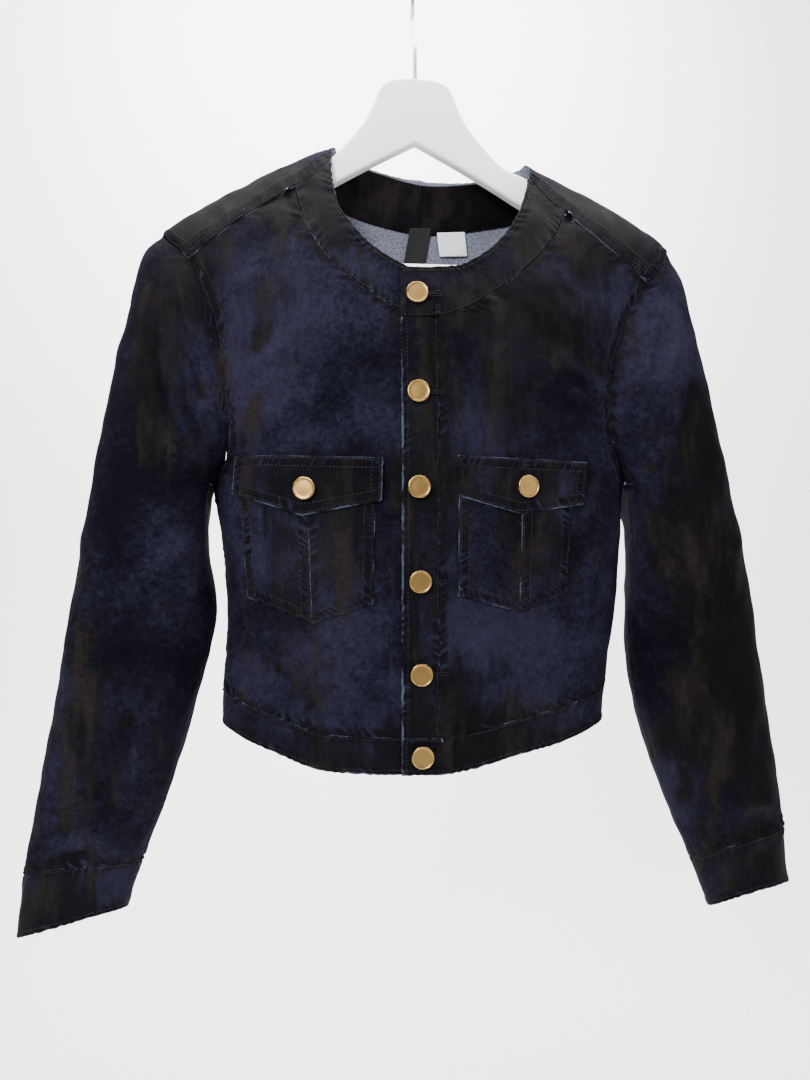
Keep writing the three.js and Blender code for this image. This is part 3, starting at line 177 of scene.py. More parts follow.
# Largest folds of the body and of the sleeves.
BODY_FOLDS = table("x z long wide lean deep face", [
    (-110, -395, 60, 12, 60, 2.5, -1), (118, -330, 60, 14, -45, 3, -1),
    (-95, -575, 45, 11, 20, 2.5, -1), (95, -560, 50, 12, -25, 2.5, -1),
    (-90, -420, 90, 16, 55, 3, 1), (95, -430, 85, 15, -50, 3, 1), (-60, -560, 50, 13, 15, 2.5, 1),
    (70, -570, 55, 12, -20, 2.5, 1),
])
SLEEVE_FOLDS = {
    "left": table("at angle long wide twist deep", [
        (0.2, 60, 0.14, 20, 160, 5), (0.38, 120, 0.07, 16, -260, 5), (0.55, 75, 0.1, 18, 200, 3),
        (0.78, 100, 0.08, 20, -180, 3), (0.3, 250, 0.15, 22, -120, 4),
        (0.62, 285, 0.1, 20, 180, 3),
    ]),
    "right": table("at angle long wide twist deep", [
        (0.22, 70, 0.16, 18, 150, 5), (0.42, 125, 0.1, 14, -120, 5),
        (0.58, 80, 0.12, 18, 120, 3.5), (0.8, 95, 0.08, 18, -150, 3),
        (0.33, 255, 0.14, 22, -140, 4), (0.65, 280, 0.1, 20, 160, 3),
    ]),
}

# Pockets and flaps: top and bottom of the outer edge, the pointed middle and inner edge.
POCKET = {
    "left": table("topX topZ lowX lowZ", [
        (-140, -428, -132, -517), (-87, -430, -83, -536), (-36, -430, -38, -521),
    ]),
    "right": table("topX topZ lowX lowZ", [
        (118, -432, 114, -513), (76, -432, 74, -528), (26, -430, 26, -515),
    ]),
}
FLAP = {
    "left": table("topX topZ lowX lowZ", [
        (-141, -408, -143, -437), (-86, -409.5, -90, -454), (-31, -411, -32, -443),
    ]),
    "right": table("topX topZ lowX lowZ", [
        (130, -411.5, 126, -444.5), (77, -410.5, 74, -452.5), (25, -409, 27, -440),
    ]),
}

# Front buttons.
FRONT_BUTTONS = table("x z", [
    (-4, -284), (-4, -361), (-4, -433), (-3, -504), (-2, -574), (-1, -636),
])

# Facing inside the back neck.
FACING_TOP = table("x z", [
    (-62, -151.5), (-45, -157), (-17, -163.5), (11, -168), (42, -167), (66, -164.5), (88, -160),
])
FACING_LOW = table("x z", [
    (-88, -178), (-55, -192), (-24, -200), (12, -205), (49, -202), (90, -196), (118, -188),
])

# Outline of one half of the hanger, from its top middle round to its under side.
HANGER = table("x z", [
    (0, -91), (12, -91.3), (22, -93.5), (28, -98), (30.5, -102), (35, -113.5), (41.3, -126),
    (50, -138), (60.7, -150), (69, -158.5), (77, -164), (92, -170), (113, -180.5), (136, -193),
    (159, -205), (180, -217), (190, -224), (195, -232), (195, -248), (188, -256), (172, -256),
    (172, -238), (150, -226), (110, -205), (86, -192), (66, -180), (36, -163), (0, -144),
])

# Cloth walls, the gap between pieces and how far the lapping front stands out.
CLOTH, BAND, CUFF, POCKET_WALL, FLAP_WALL, FACING_WALL, LABEL_WALL = 1.6, 2.6, 2.8, 1.4, 1.8, 1.2, 1.0
GAP = 0.4
LAP = 3.0
LAP_EDGE, PLACKET_SEAM, LAP_FADE, UNDERLAP = -16, 12.5, 40, 9
PLACKET_TOP, WAIST_SEAM, HEM = -302.5, -622, -650
BAND_REACH = 200
BODY_ROUNDNESS, SLEEVE_ROUNDNESS, RIDGE_DROP = 0.9, 0.92, 100
POCKET_LIFT = 0.7
FLAP_LIFT = POCKET_LIFT + POCKET_WALL + GAP

# Shares of the front yoke seam at which the neckband ends and a front's rows start.
SEAM_NECKBAND = 0.2466
SEAM_SHARES = np.array([0.3, 0.38, 0.46, 0.54, 0.62, 0.7, 0.78, 0.86, 0.93, 1])
SEAM_LEVELS = np.concatenate([[0, 0.1233, SEAM_NECKBAND], SEAM_SHARES])
BACK_NECK_LOW, BACK_YOKE_STEPS = 5, 10
CUFF_SECTION, UNDERARM_ROWS, SLEEVE_CLEAR = 11, 5, 3
SIDES = {"left": -1, "right": 1}


# Curves and the body's surface


def smooth(t):
    """0 to 1 with level ends."""
    t = np.clip(t, 0, 1)
    return t * t * (3 - 2 * t)


def mix(a, b, t):
    return a + (b - a) * t


def curve(keys, values, at, level=False):
    """Smooth curve through values over keys: a cubic between two keys, whose slope at a key
    is that of the chord between its neighbours, or with level the harmonic mean of the two
    chords beside it, which never leaves the values' range. It is held past the ends."""
    keys, values, at = (np.asarray(a, float) for a in (keys, values, at))
    if keys[-1] < keys[0]:
        keys, at = -keys, -at
    i = np.clip(np.searchsorted(keys[1:], at), 0, len(keys) - 2)
    chord = np.diff(values) / np.diff(keys)
    middle = (values[2:] - values[:-2]) / (keys[2:] - keys[:-2])
    if level:
        a, b = chord[:-1], chord[1:]
        middle = np.where(a * b > 0, 2 * a * b / np.where(a * b > 0, a + b, 1), 0)
    slope = np.concatenate([chord[:1], middle, chord[-1:]])
    span = keys[i + 1] - keys[i]
    t = np.clip((at - keys[i]) / span, 0, 1)
    bend = slope[i] * (1 - t) - slope[i + 1] * t
    return mix(values[i], values[i + 1], smooth(t)) + span * t * (1 - t) * bend


def steps(count, dense=0.0):
    """Steps from 0 to 1, drawn towards both ends by dense: t - dense * sin(2 pi t) / 2 pi."""
    t = np.linspace(0, 1, count)
    return t - dense * np.sin(2 * np.pi * t) / (2 * np.pi)


def half_width(x, z):
    """Half width of the body at height z, on the side that x is on."""
    return np.where(x < 0, curve(BODY["z"], BODY["left"], z), curve(BODY["z"], BODY["right"], z))


def ridge(x):
    """Height of the shoulder line over x: where the body's half width is |x|."""
    z = np.linspace(-126, -230, 1041)
    left = np.interp(-x, curve(BODY["z"], BODY["left"], z), z)
    right = np.interp(x, curve(BODY["z"], BODY["right"], z), z)
    return np.where(x < 0, left, right)


def body_fold(x, z, face):
    """Depth of the largest folds: a sum of leaning Gaussian troughs."""
    deep = np.zeros(np.broadcast(x, z, face).shape)
    for i in range(len(BODY_FOLDS["x"])):
        f = {k: v[i] for k, v in BODY_FOLDS.items()}
        lean = math.radians(f["lean"])
        along = ((x - f["x"]) * math.sin(lean) + (z - f["z"]) * math.cos(lean)) / f["long"]
        across = ((x - f["x"]) * math.cos(lean) - (z - f["z"]) * math.sin(lean)) / f["wide"]
        deep += np.where(face * f["face"] > 0, f["deep"], 0) * np.exp(-along**2 - across**2)
    return deep


def body_point(x, z, face, lifted=False):
    """Point of the body's outer surface: y is the section's depth there times
    (1 - (x / half width)^2)^(roundness / 2), less the folds, plus the lap."""
    x, z = np.broadcast_arrays(np.asarray(x, float), np.asarray(z, float))
    face = np.broadcast_to(face, x.shape)
    depth = np.where(face < 0, curve(BODY["z"], BODY["front"], z), curve(BODY["z"], BODY["back"], z))
    bulge = np.maximum(0, 1 - (x / half_width(x, z)) ** 2) ** (BODY_ROUNDNESS / 2)
    lap = LAP * smooth((LAP_FADE - x) / (LAP_FADE - PLACKET_SEAM)) if lifted else 0
    y = face * (depth * bulge - body_fold(x, z, face) * np.minimum(1, 2 * bulge) + lap)
    return np.stack([x, y, z], -1)


def ridge_point(x, q):
    """Point of the body at a signed distance q from the shoulder line: q squared is its drop."""
    return body_point(x, ridge(x) - RIDGE_DROP * q * q, np.where(q < 0, -1, 1))


def ridge_place(x, z, face):
    return face * np.sqrt(np.maximum(0, ridge(x) - z) / RIDGE_DROP)


def seam_bow(share):
    """How the front yoke seam falls away from the neck: the square root of the share."""
    return curve(SEAM_LEVELS, np.sqrt(SEAM_LEVELS), share)


def yoke_seam(side, share, drop=0.0):
    """Place on the seam between the yoke and a front, at a share of it from the neck."""
    ends = []
    for rows in (YOKE_NECK[side], YOKE_ARMHOLE[side]):
        ends.append((rows["x"][0], ridge_place(rows["x"][0], rows["z"][0], -1)))
    x = mix(ends[0][0], ends[1][0], share)
    q = mix(ends[0][1], ends[1][1], seam_bow(share))
    return x, ridge(x) - RIDGE_DROP * q * q - drop


def hem_rise(x):
    reach = np.minimum(np.abs(x), HEM_RISE["x"][-1])
    left = curve(HEM_RISE["x"], HEM_RISE["left"], reach)
    return np.where(x < 0, left, curve(HEM_RISE["x"], HEM_RISE["right"], reach))


def body_rows(inner, outer, face, across, lifted, bend=0.0, bow=0.0):
    """Rows of the body's surface between inner and outer places, spaced by angle round the
    body: x = sin(angle) * half width. bend lets a row follow the hem's rise."""
    (xi, zi), (xo, zo) = inner, outer
    column = lambda a: np.asarray(a, float)[:, None]
    angle = lambda x, z: np.sign(x) * np.arcsin(np.clip(np.abs(x) / half_width(x, z), 0, 1))
    phi = mix(column(angle(xi, zi)), column(angle(xo, zo)), across[None, :])
    straight = mix(column(zi), column(zo), across[None, :]) + bow
    guess = np.sin(phi) * half_width(phi, straight)
    rise = hem_rise(guess) - mix(column(hem_rise(xi)), column(hem_rise(xo)), across[None, :])
    z = straight + np.broadcast_to(np.reshape(bend, (-1, 1)), straight.shape) * rise
    return body_point(np.sin(phi) * half_width(phi, z), z, face, lifted)


def even_places(x, z, count, dense):
    """Fractional rows of a table so that its steps are about even in length."""
    length = np.concatenate([[0], np.cumsum(np.hypot(np.diff(x), np.diff(z)))])
    return np.interp(steps(count, dense) * length[-1], length, np.arange(len(x)))


# The cut pieces as grids


def outwards(grid, side):
    return grid[:, ::-1] if side == "left" else grid


def front_grid(side, rows=190, across=100):
    """A front, from the neckband and yoke seams to the waist seam: rows between a place on
    its inner edge and one on its outer edge."""
    band, hole, sign = NECKBAND[side], ARMHOLE[side], SIDES[side]
    n = len(SEAM_SHARES)
    seam_x, seam_z = yoke_seam(side, SEAM_SHARES, 1)
    inner_x = PLACKET_SEAM if side == "right" else UNDERLAP
    side_x = sign * half_width(np.full(len(SIDE["side"]), sign), SIDE["side"])
    xi = np.concatenate([band["seamX"][:n], hole["seamX"], np.full(len(SIDE["front"]), inner_x)])
    zi = np.concatenate([band["seamZ"][:n], hole["seamZ"], SIDE["front"]])
    xo = np.concatenate([seam_x, hole["outX"], side_x])
    zo = np.concatenate([seam_z, hole["outZ"], SIDE["side"]])
    bend = np.concatenate([np.zeros(n + len(hole["outX"])), SIDE["bend"]])
    k = np.arange(len(xi))
    at = even_places((xi + xo) / 2, (zi + zo) / 2, rows, 0.35)
    take = lambda v: curve(k, v, at, level=True)
    t = steps(across, 0.55)
    end = np.interp(at, np.arange(n), SEAM_SHARES)[:, None]
    height = lambda share: yoke_seam(side, share)[1]
    chord = mix(height(np.full_like(end, SEAM_NECKBAND)), height(end), t)
    bow = (height(mix(SEAM_NECKBAND, end, t)) - chord) * np.maximum(0, 1 - at / n)[:, None]
    grid = body_rows((take(xi), take(zi)), (take(xo), take(zo)), -1, t, side == "right", take(bend), bow)
    return outwards(grid, side), at


def back_grid(rows=130, across=140):
    """The back, from the yoke seam to the waist seam."""
    parts = {}
    for side, sign in SIDES.items():
        x = sign * half_width(np.full(len(SIDE["side"]), sign), SIDE["side"])
        parts[side] = (np.concatenate([BACK_ARMHOLE[side]["x"], x]),
                       np.concatenate([BACK_ARMHOLE[side]["z"], SIDE["side"]]))
    (xl, zl), (xr, zr) = parts["left"], parts["right"]
    k = np.arange(len(xl))
    at = even_places(xl, zl, rows, 0.4)
    take = lambda v: curve(k, v, at, level=True)
    grid = body_rows((take(xl), take(zl)), (take(xr), take(zr)), 1, steps(across, 0.4), False)
    return grid[:, ::-1]


def yoke_ends():
    """Neck edge and armhole edge of the yoke, from the left front seam round the back to the
    right front seam, as x and the signed distance from the shoulder line."""
    ends = []
    for rows, low in ((YOKE_NECK, BACK_NECK_LOW), (YOKE_ARMHOLE, 0)):
        left, right = rows["left"], rows["right"]
        t = np.arange(1, BACK_YOKE_STEPS) / BACK_YOKE_STEPS
        x = mix(left["x"][-1], right["x"][-1], t)
        z = mix(left["z"][-1], right["z"][-1], t) - low * 4 * t * (1 - t)
        xs = np.concatenate([left["x"], x, right["x"][::-1]])
        zs = np.concatenate([left["z"], z, right["z"][::-1]])
        faces = np.concatenate([left["face"], np.ones(len(t)), right["face"][::-1]])
        ends.append((xs, ridge_place(xs, zs, faces)))
    return ends


def yoke_grid(rows=70, around=230):
    """The yoke, one piece over both shoulders and across the back."""
    (xn, qn), (xa, qa) = yoke_ends()
    k = np.arange(len(xn))
    at = mix(0, len(xn) - 1, steps(around, 0.2))
    take = lambda v: curve(k, v, at, level=True)[None, :]
    v = steps(rows, 0.5)[:, None]
    bow = np.where(take(qn) < 0, seam_bow(v), v)
    grid = ridge_point(mix(take(xn), take(xa), v), mix(take(qn), take(qa), bow))
    return grid[:, ::-1]


def neckband_grid(side, rows=130, across=26):
    """Neckband of a front, from the yoke seam to the front edge."""
    band = NECKBAND[side]
    k = np.arange(len(band["edgeX"]))
    at = even_places(band["seamX"], band["seamZ"], rows, 0.2)
    take = lambda name: curve(k, band[name], at, level=True)[:, None]
    t = steps(across, 0.4)[None, :]
    share = t * SEAM_NECKBAND
    seam_z = yoke_seam(side, share, 1)[1]
    bow = (seam_z - mix(seam_z[:, :1], seam_z[:, -1:], t)) * np.maximum(0, 1 - at)[:, None]
    x = mix(take("edgeX"), take("seamX"), t)
    z = mix(take("edgeZ"), take("seamZ"), t) + bow
    return outwards(body_point(x, z, -1, side == "right"), side)


def placket_grid(rows=170, across=24):
    """Button placket on the lapping edge."""
    x = mix(LAP_EDGE, PLACKET_SEAM, steps(across, 0.4))[None, :]
    z = mix(PLACKET_TOP, WAIST_SEAM, steps(rows))[:, None]
    return body_point(x, z, -1, True)


def waistband_grid(from_x, to_x, face, lifted, rows=22, across=130):
    """A waistband piece, from the waist seam to the hem."""
    level = mix(WAIST_SEAM, HEM, steps(rows, 0.4))
    places = []
    for x in (from_x, to_x):
        lift = hem_rise(np.full_like(level, x)) if face < 0 else hem_rise(-half_width(-1, level))
        z = level + lift
        wide = half_width(np.full_like(level, x), z)
        places.append((np.sign(x) * np.minimum(abs(x), wide), z))
    return body_rows(*places, face, steps(across, 0.3), lifted, 1.0 if face < 0 else 0.0)


def armhole_loop(side):
    """Points of the armhole, from the shoulder line down the front and up the back."""
    yoke, hole, back = YOKE_ARMHOLE[side], ARMHOLE[side], BACK_ARMHOLE[side]
    top = ridge_point(yoke["x"], ridge_place(yoke["x"], yoke["z"], yoke["face"]))
    turn = int(np.argmin(np.abs(yoke["face"])))
    front = body_point(hole["outX"][:-1], hole["outZ"][:-1], -1, side == "right")
    rear = body_point(back["x"][1:-1], back["z"][1:-1], 1)[::-1]
    under = np.array([[back["x"][-1], 0, back["z"][-1]]])
    return np.concatenate([top[turn::-1], front, under, rear, top[:turn:-1]])


def section_point(row, turn):
    """Point of a sleeve's section at an angle from its outer edge through the front."""
    cos, sin = np.cos(turn), np.sin(turn)
    x = (row["outX"] + row["inX"]) / 2 + (row["outX"] - row["inX"]) / 2 * cos
    z = (row["outZ"] + row["inZ"]) / 2 + (row["outZ"] - row["inZ"]) / 2 * cos
    y = np.where(sin > 0, -row["front"], row["back"]) * np.abs(sin) ** SLEEVE_ROUNDNESS - row["swing"]
    return np.stack(np.broadcast_arrays(x, y, z + row["scoop"] * np.maximum(0, sin)), -1)


def clear_of_body(side, p, share):
    """Moves a sleeve's points out to the body's own side, below the turn under the arm."""
    out = np.abs(p[..., 0])
    low_edge = np.zeros_like(out)
    for face, rows in ((-1, ARMHOLE[side]), (1, BACK_ARMHOLE[side])):
        x, z = (rows["outX"], rows["outZ"]) if face < 0 else (rows["x"], rows["z"])
        x, z = np.abs(x[-UNDERARM_ROWS:]), z[-UNDERARM_ROWS:]
        depth = curve(BODY["z"], BODY["front" if face < 0 else "back"], p[..., 2])
        part = np.clip(np.abs(p[..., 1]) / depth, 0, 1) ** (2 / BODY_ROUNDNESS)
        wall = half_width(p[..., 0], p[..., 2]) * np.sqrt(1 - part)
        edge = np.where(p[..., 2] < z[-1], wall, curve(z, x, np.maximum(z[-1], p[..., 2])))
        edge = np.where(p[..., 2] > z[0], 0, edge + SLEEVE_CLEAR * share)
        low_edge = np.where((p[..., 1] < 0) == (face < 0), edge, low_edge)
    q = p.copy()
    q[..., 0] = SIDES[side] * np.maximum(out, low_edge)
    return q


def sleeve_fold(side, at, degrees):
    """Depth of a sleeve's largest folds: Gaussian troughs that twist round it."""
    rows = SLEEVE_FOLDS[side]
    deep = 0.0
    for i in range(len(rows["at"])):
        f = {k: v[i] for k, v in rows.items()}
        turn = (degrees - f["angle"] - f["twist"] * (at - f["at"]) + 540) % 360 - 180
        deep = deep + f["deep"] * np.exp(-(((at - f["at"]) / f["long"]) ** 2) - (turn / f["wide"]) ** 2)
    return deep


def sleeve_grid(side, start, end, rows=220, around=120):
    """A sleeve or a cuff between two sections: the section's oval plus the armhole's own
    departure from its first oval, less along the sleeve."""
    sections, loop = SLEEVE[side], armhole_loop(side)
    first = {k: v[0] for k, v in sections.items()}
    share = np.clip((loop[:, 2] - first["inZ"]) / (first["outZ"] - first["inZ"]), 0, 1)
    turns = np.arccos(2 * share - 1)
    turns = np.where((loop[:, 1] > 0) & (np.arange(len(loop)) > 0), 2 * np.pi - turns, turns)
    wrap = lambda a, add: np.concatenate([a[-3:] - add, a, a[:3] + add])
    k = np.arange(-3, len(loop) + 3)
    fine = np.linspace(0, len(loop), 16 * len(loop) + 1)
    ring = np.stack([curve(k, wrap(loop[:, i], 0), fine) for i in range(3)], -1)
    length = np.concatenate([[0], np.cumsum(np.linalg.norm(np.diff(ring, axis=0), axis=1))])
    at = np.interp(np.linspace(0, length[-1], around, endpoint=False), length, fine)
    ring = np.stack([curve(k, wrap(loop[:, i], 0), at) for i in range(3)], -1)
    turn = curve(k, wrap(turns, 2 * np.pi), at, level=True)
    place = mix(start, end, steps(rows, 0.35 if end == CUFF_SECTION else 0.0))[:, None]
    index = np.arange(len(sections["outX"]))
    row = {name: curve(index, values, place) for name, values in sections.items()}
    start_oval = section_point(first, turn[None, :])
    points = section_point(row, turn[None, :])
    points = points + (ring[None] - start_oval) * np.clip(row["hole"], 0, 1)[..., None]
    points = clear_of_body(side, points, np.clip(place, 0, 1))
    if side == "right":
        points, turn = points[:, ::-1], turn[::-1]
    along = place / CUFF_SECTION
    fade = smooth(along / 0.12) * smooth((1 - along) / 0.06)
    deep = sleeve_fold(side, along, np.degrees(turn)[None, :]) * fade
    return points - normals(points, True) * deep[..., None]


def normals(p, tube=False):
    """Unit normals of a grid: down times across."""
    across = np.roll(p, -1, 1) - np.roll(p, 1, 1) if tube else np.gradient(p, axis=1)
    n = np.cross(np.gradient(p, axis=0), across)
    return n / np.maximum(np.linalg.norm(n, axis=-1, keepdims=True), 1e-9)


# Folds, seams and stitches

# Soft creases beyond the largest folds: on the front (-1) or back (1), from one end to the
# other, half width, height above the cloth (below it where negative) and bow sideways.
CREASES = {
    "body": table("face x0 z0 x1 z1 wide high bow", [
        (-1, -150, -352, -96, -310, 7, 1.3, 5), (-1, -146, -372, -104, -344, 6, 1.0, -4),
        (-1, -60, -300, -34, -392, 9, 1.0, 8), (-1, -120, -300, -128, -392, 11, -1.1, 6),
        (-1, 152, -352, 100, -318, 7, 1.4, -5), (-1, 150, -378, 112, -356, 6, 1.1, 4),
        (-1, 52, -318, 34, -396, 8, 1.0, -7), (-1, 124, -300, 138, -388, 10, -1.0, -6),
        (-1, -150, -452, -132, -566, 8, 1.2, -7), (-1, -122, -548, -60, -600, 9, 1.3, -6),
        (-1, -70, -548, -36, -612, 8, 1.0, 5), (-1, -24, -470, -20, -590, 6, 0.8, 3),
        (-1, 150, -462, 134, -560, 8, 1.2, 6), (-1, 120, -536, 66, -594, 9, 1.4, 7),
        (-1, 58, -534, 28, -606, 8, 1.1, -5), (-1, 100, -588, 132, -572, 6, 1.0, 3),
        (1, -130, -340, -80, -470, 11, 1.5, 12), (1, 136, -345, 86, -460, 11, 1.4, -10),
        (1, -40, -330, -56, -480, 13, -1.2, -9), (1, 42, -340, 60, -500, 12, -1.2, 8),
        (1, -120, -520, -40, -590, 10, 1.5, -10), (1, 124, -530, 50, -596, 10, 1.4, 9),
        (1, -14, -500, 8, -606, 11, 1.2, 6), (1, -90, -215, -150, -262, 10, 1.2, 6),
        (1, 90, -220, 156, -268, 10, 1.2, -6),
    ]),
    "left": table("face x0 z0 x1 z1 wide high bow", [
        (-1, -187, -272, -158, -362, 4, 1.3, 4), (-1, -200, -330, -172, -452, 6, 1.1, -6),
        (-1, -236, -420, -214, -520, 6, 1.0, 5), (-1, -172, -366, -160, -402, 7, 2.6, -4),
        (-1, -182, -392, -168, -424, 5, -2.0, 3), (-1, -196, -262, -186, -380, 9, 2.0, 8),
        (-1, -222, -300, -214, -436, 12, -1.6, -9), (-1, -176, -480, -222, -530, 8, 2.2, 7),
        (-1, -172, -520, -228, -552, 7, 1.7, -5), (-1, -180, -556, -244, -602, 8, 2.0, 8),
        (-1, -262, -470, -236, -560, 9, 1.5, -7), (-1, -206, -600, -224, -690, 9, 1.7, 6),
        (-1, -270, -600, -258, -706, 10, 1.5, -6), (-1, -226, -690, -288, -714, 6, 1.3, 4),
        (-1, -240, -712, -300, -722, 5, -1.1, 3), (1, -196, -280, -210, -420, 10, 1.8, -8),
        (1, -178, -440, -240, -510, 10, 2.2, 9), (1, -172, -500, -250, -580, 9, 2.2, -8),
        (1, -200, -580, -262, -650, 10, 1.8, 7), (1, -236, -640, -276, -712, 9, 1.5, -6),
        (1, -250, -380, -262, -470, 12, 1.6, 7),
    ]),
    "right": table("face x0 z0 x1 z1 wide high bow", [
        (-1, 197, -284, 168, -368, 4, 1.2, -4), (-1, 226, -330, 192, -446, 6, 1.1, 6),
        (-1, 250, -400, 228, -512, 6, 1.0, -5), (-1, 170, -378, 190, -412, 7, 2.6, 4),
        (-1, 180, -408, 204, -440, 6, -2.0, -4), (-1, 206, -272, 196, -380, 9, 2.0, -8),
        (-1, 232, -310, 226, -440, 12, -1.6, 9), (-1, 190, -470, 240, -520, 8, 2.2, -7),
        (-1, 186, -516, 244, -552, 7, 1.8, 5), (-1, 192, -560, 252, -600, 8, 2.0, -8),
        (-1, 270, -456, 250, -552, 9, 1.6, 7), (-1, 212, -606, 236, -696, 9, 1.8, -6),
        (-1, 280, -590, 268, -696, 10, 1.5, 7), (-1, 234, -700, 298, -690, 6, 1.3, -4),
        (-1, 246, -728, 304, -704, 5, -1.1, -3), (1, 204, -290, 222, -420, 10, 1.8, 8),
        (1, 190, -445, 250, -515, 10, 2.2, -9), (1, 186, -505, 262, -580, 9, 2.2, 8),
        (1, 208, -585, 270, -650, 10, 1.8, -7), (1, 244, -640, 284, -705, 9, 1.5, 6),
        (1, 260, -380, 272, -465, 12, 1.6, -7),
    ]),
}

# Where the black coating lies thickest: face (0 is both), centre, half sizes and amount.
COATING = table("face x z wide tall much", [
    (0, 150, -215, 60, 40, 0.55), (0, 80, -190, 50, 45, 0.4), (0, -110, -190, 70, 30, 0.45),
    (0, -175, -260, 22, 60, 0.35), (-1, -70, -230, 45, 40, 0.3), (-1, 40, -285, 60, 22, 0.4),
    (-1, 115, -290, 55, 45, 0.3), (-1, 60, -350, 45, 50, 0.3), (-1, -60, -340, 50, 45, -0.25),
    (-1, -115, -300, 30, 50, 0.15), (-1, -80, -390, 40, 30, -0.15), (-1, 120, -380, 35, 35, -0.15),
    (-1, -85, -425, 60, 25, 0.3), (-1, -60, -480, 35, 45, 0.35), (-1, -112, -480, 22, 40, 0.2),
    (-1, 75, -425, 60, 20, 0.35), (-1, 90, -480, 35, 40, 0.3), (-1, 45, -480, 22, 40, 0.1),
    (-1, 0, -460, 20, 200, 0.3), (-1, -60, -580, 60, 30, 0.05), (-1, -120, -560, 35, 45, 0.15),
    (-1, 60, -575, 45, 35, 0.1), (-1, 120, -560, 35, 45, -0.15), (-1, 0, -640, 170, 24, 0.5),
    (-1, 40, -610, 60, 20, 0.3), (0, -200, -330, 26, 90, 0.35), (0, -226, -470, 40, 60, -0.3),
    (0, -215, -560, 45, 60, 0.1), (0, -262, -620, 26, 90, 0.3), (0, -215, -650, 30, 50, 0.0),
    (0, -270, -760, 50, 32, 0.5), (0, 215, -300, 24, 60, -0.2), (0, 235, -380, 30, 60, 0.3),
    (0, 222, -480, 32, 80, 0.4), (0, 262, -560, 28, 90, 0.5), (0, 225, -640, 26, 70, 0.35),
    (0, 285, -660, 24, 70, 0.3), (0, 280, -745, 50, 32, 0.45), (1, 0, -240, 160, 40, 0.25),
    (1, -70, -420, 60, 90, -0.2), (1, 80, -400, 50, 80, 0.15), (1, 20, -560, 90, 50, 0.2),
    (1, 0, -640, 170, 24, 0.4),
])
COAT_EVERYWHERE = 0.3
# Creases' heights are all raised by one share. The rest is in millimetres: pitch of a seam's
# ripples beside one row of stitches and two, depth and half width of a stitched groove, how far
# a folded edge rolls in, and how far a tucked strip runs out and under its neighbour.
CREASE_RISE = 1.8
RIPPLE_PITCH, RIPPLE_PITCH_DOUBLE = 8.0, 6.5
GROOVE_DEEP, GROOVE_HALF, EDGE_ROLL = 0.32, 0.9, 0.9
TUCK_OUT, TUCK_UNDER = 3.0, 1.9
# Share of the wall by which the middle of a rim stands out.
RIM_OUT = 0.33


def measure(points, path):
    """Distance from a path, and length along it, at each point: the nearest of the path's
    vertices, then the foot of the point on the two pieces beside it."""
    flat = points.reshape(-1, 3)
    piece = np.diff(path, axis=0)
    size = np.maximum(np.linalg.norm(piece, axis=1), 1e-9)
    length = np.concatenate([[0], np.cumsum(size)])
    square = (path**2).sum(1)
    near = np.argmin(square[None, :] - 2 * flat @ path.T, axis=1)
    best, along = np.full(len(flat), np.inf), np.zeros(len(flat))
    for shift in (-1, 0):
        i = np.clip(near + shift, 0, len(piece) - 1)
        t = np.clip(((flat - path[i]) * piece[i]).sum(1) / size[i] ** 2, 0, 1)
        off = np.linalg.norm(flat - path[i] - piece[i] * t[:, None], axis=1)
        along = np.where(off < best, length[i] + t * size[i], along)
        best = np.minimum(best, off)
    return best.reshape(points.shape[:-1]), along.reshape(points.shape[:-1]), length[-1]


def ripple(s, seed, pitch=9.0):
    """Uneven ripple along a seam: a sine whose pitch drifts, times a slow swell."""
    drift = 0.35 * np.sin(2 * np.pi * s / (4.3 * pitch) + seed)
    swell = 0.6 + 0.4 * np.sin(2 * np.pi * s / (7.7 * pitch) + 2.1 * seed)
    return np.sin(2 * np.pi * (s / pitch + drift) + 3.3 * seed) * swell


def facing(n, face):
    """1 where the cloth faces the front (-1) or back (1), 0 where it faces away."""
    return 1.0 if face == 0 else smooth((n[..., 1] * face + 0.15) / 0.5)


def drape(group, p, n, scale):
    """Height of the soft creases and the cloth's slight waviness: Gaussian ridges along bowed
    lines, each with a shallow trough beside it, and products of slow sines."""
    x, y, z = p[..., 0], p[..., 1], p[..., 2]
    high = 0.55 * np.sin(x / 10.5 + 1.3 * np.sin(z / 26)) * np.sin(z / 17 + 1.1 * np.sin(x / 21 + y / 15))
    high = high + 0.38 * np.sin(x / 5.3 + y / 6.1 + 2 * np.sin(z / 15)) * np.sin(z / 7.9 + np.sin(x / 9))
    rows = CREASES[group]
    for i in range(len(rows["face"])):
        c = {k: v[i] for k, v in rows.items()}
        dx, dz = c["x1"] - c["x0"], c["z1"] - c["z0"]
        size = math.hypot(dx, dz)
        t = ((x - c["x0"]) * dx + (z - c["z0"]) * dz) / size**2
        off = ((x - c["x0"]) * dz - (z - c["z0"]) * dx) / size - c["bow"] * 4 * t * (1 - t)
        past = np.maximum(0, np.maximum(-t, t - 1)) * size
        ends = np.exp(-((past / (1.2 * c["wide"])) ** 2))
        ends = ends * smooth(t / 0.3 + 0.35) * smooth((1 - t) / 0.3 + 0.35)
        beside = off - 1.7 * c["wide"]
        ridge_line = np.exp(-((off / c["wide"]) ** 2)) - 0.45 * np.exp(-((beside / c["wide"]) ** 2))
        high = high + CREASE_RISE * c["high"] * ridge_line * ends * facing(n, c["face"])
    return high * scale


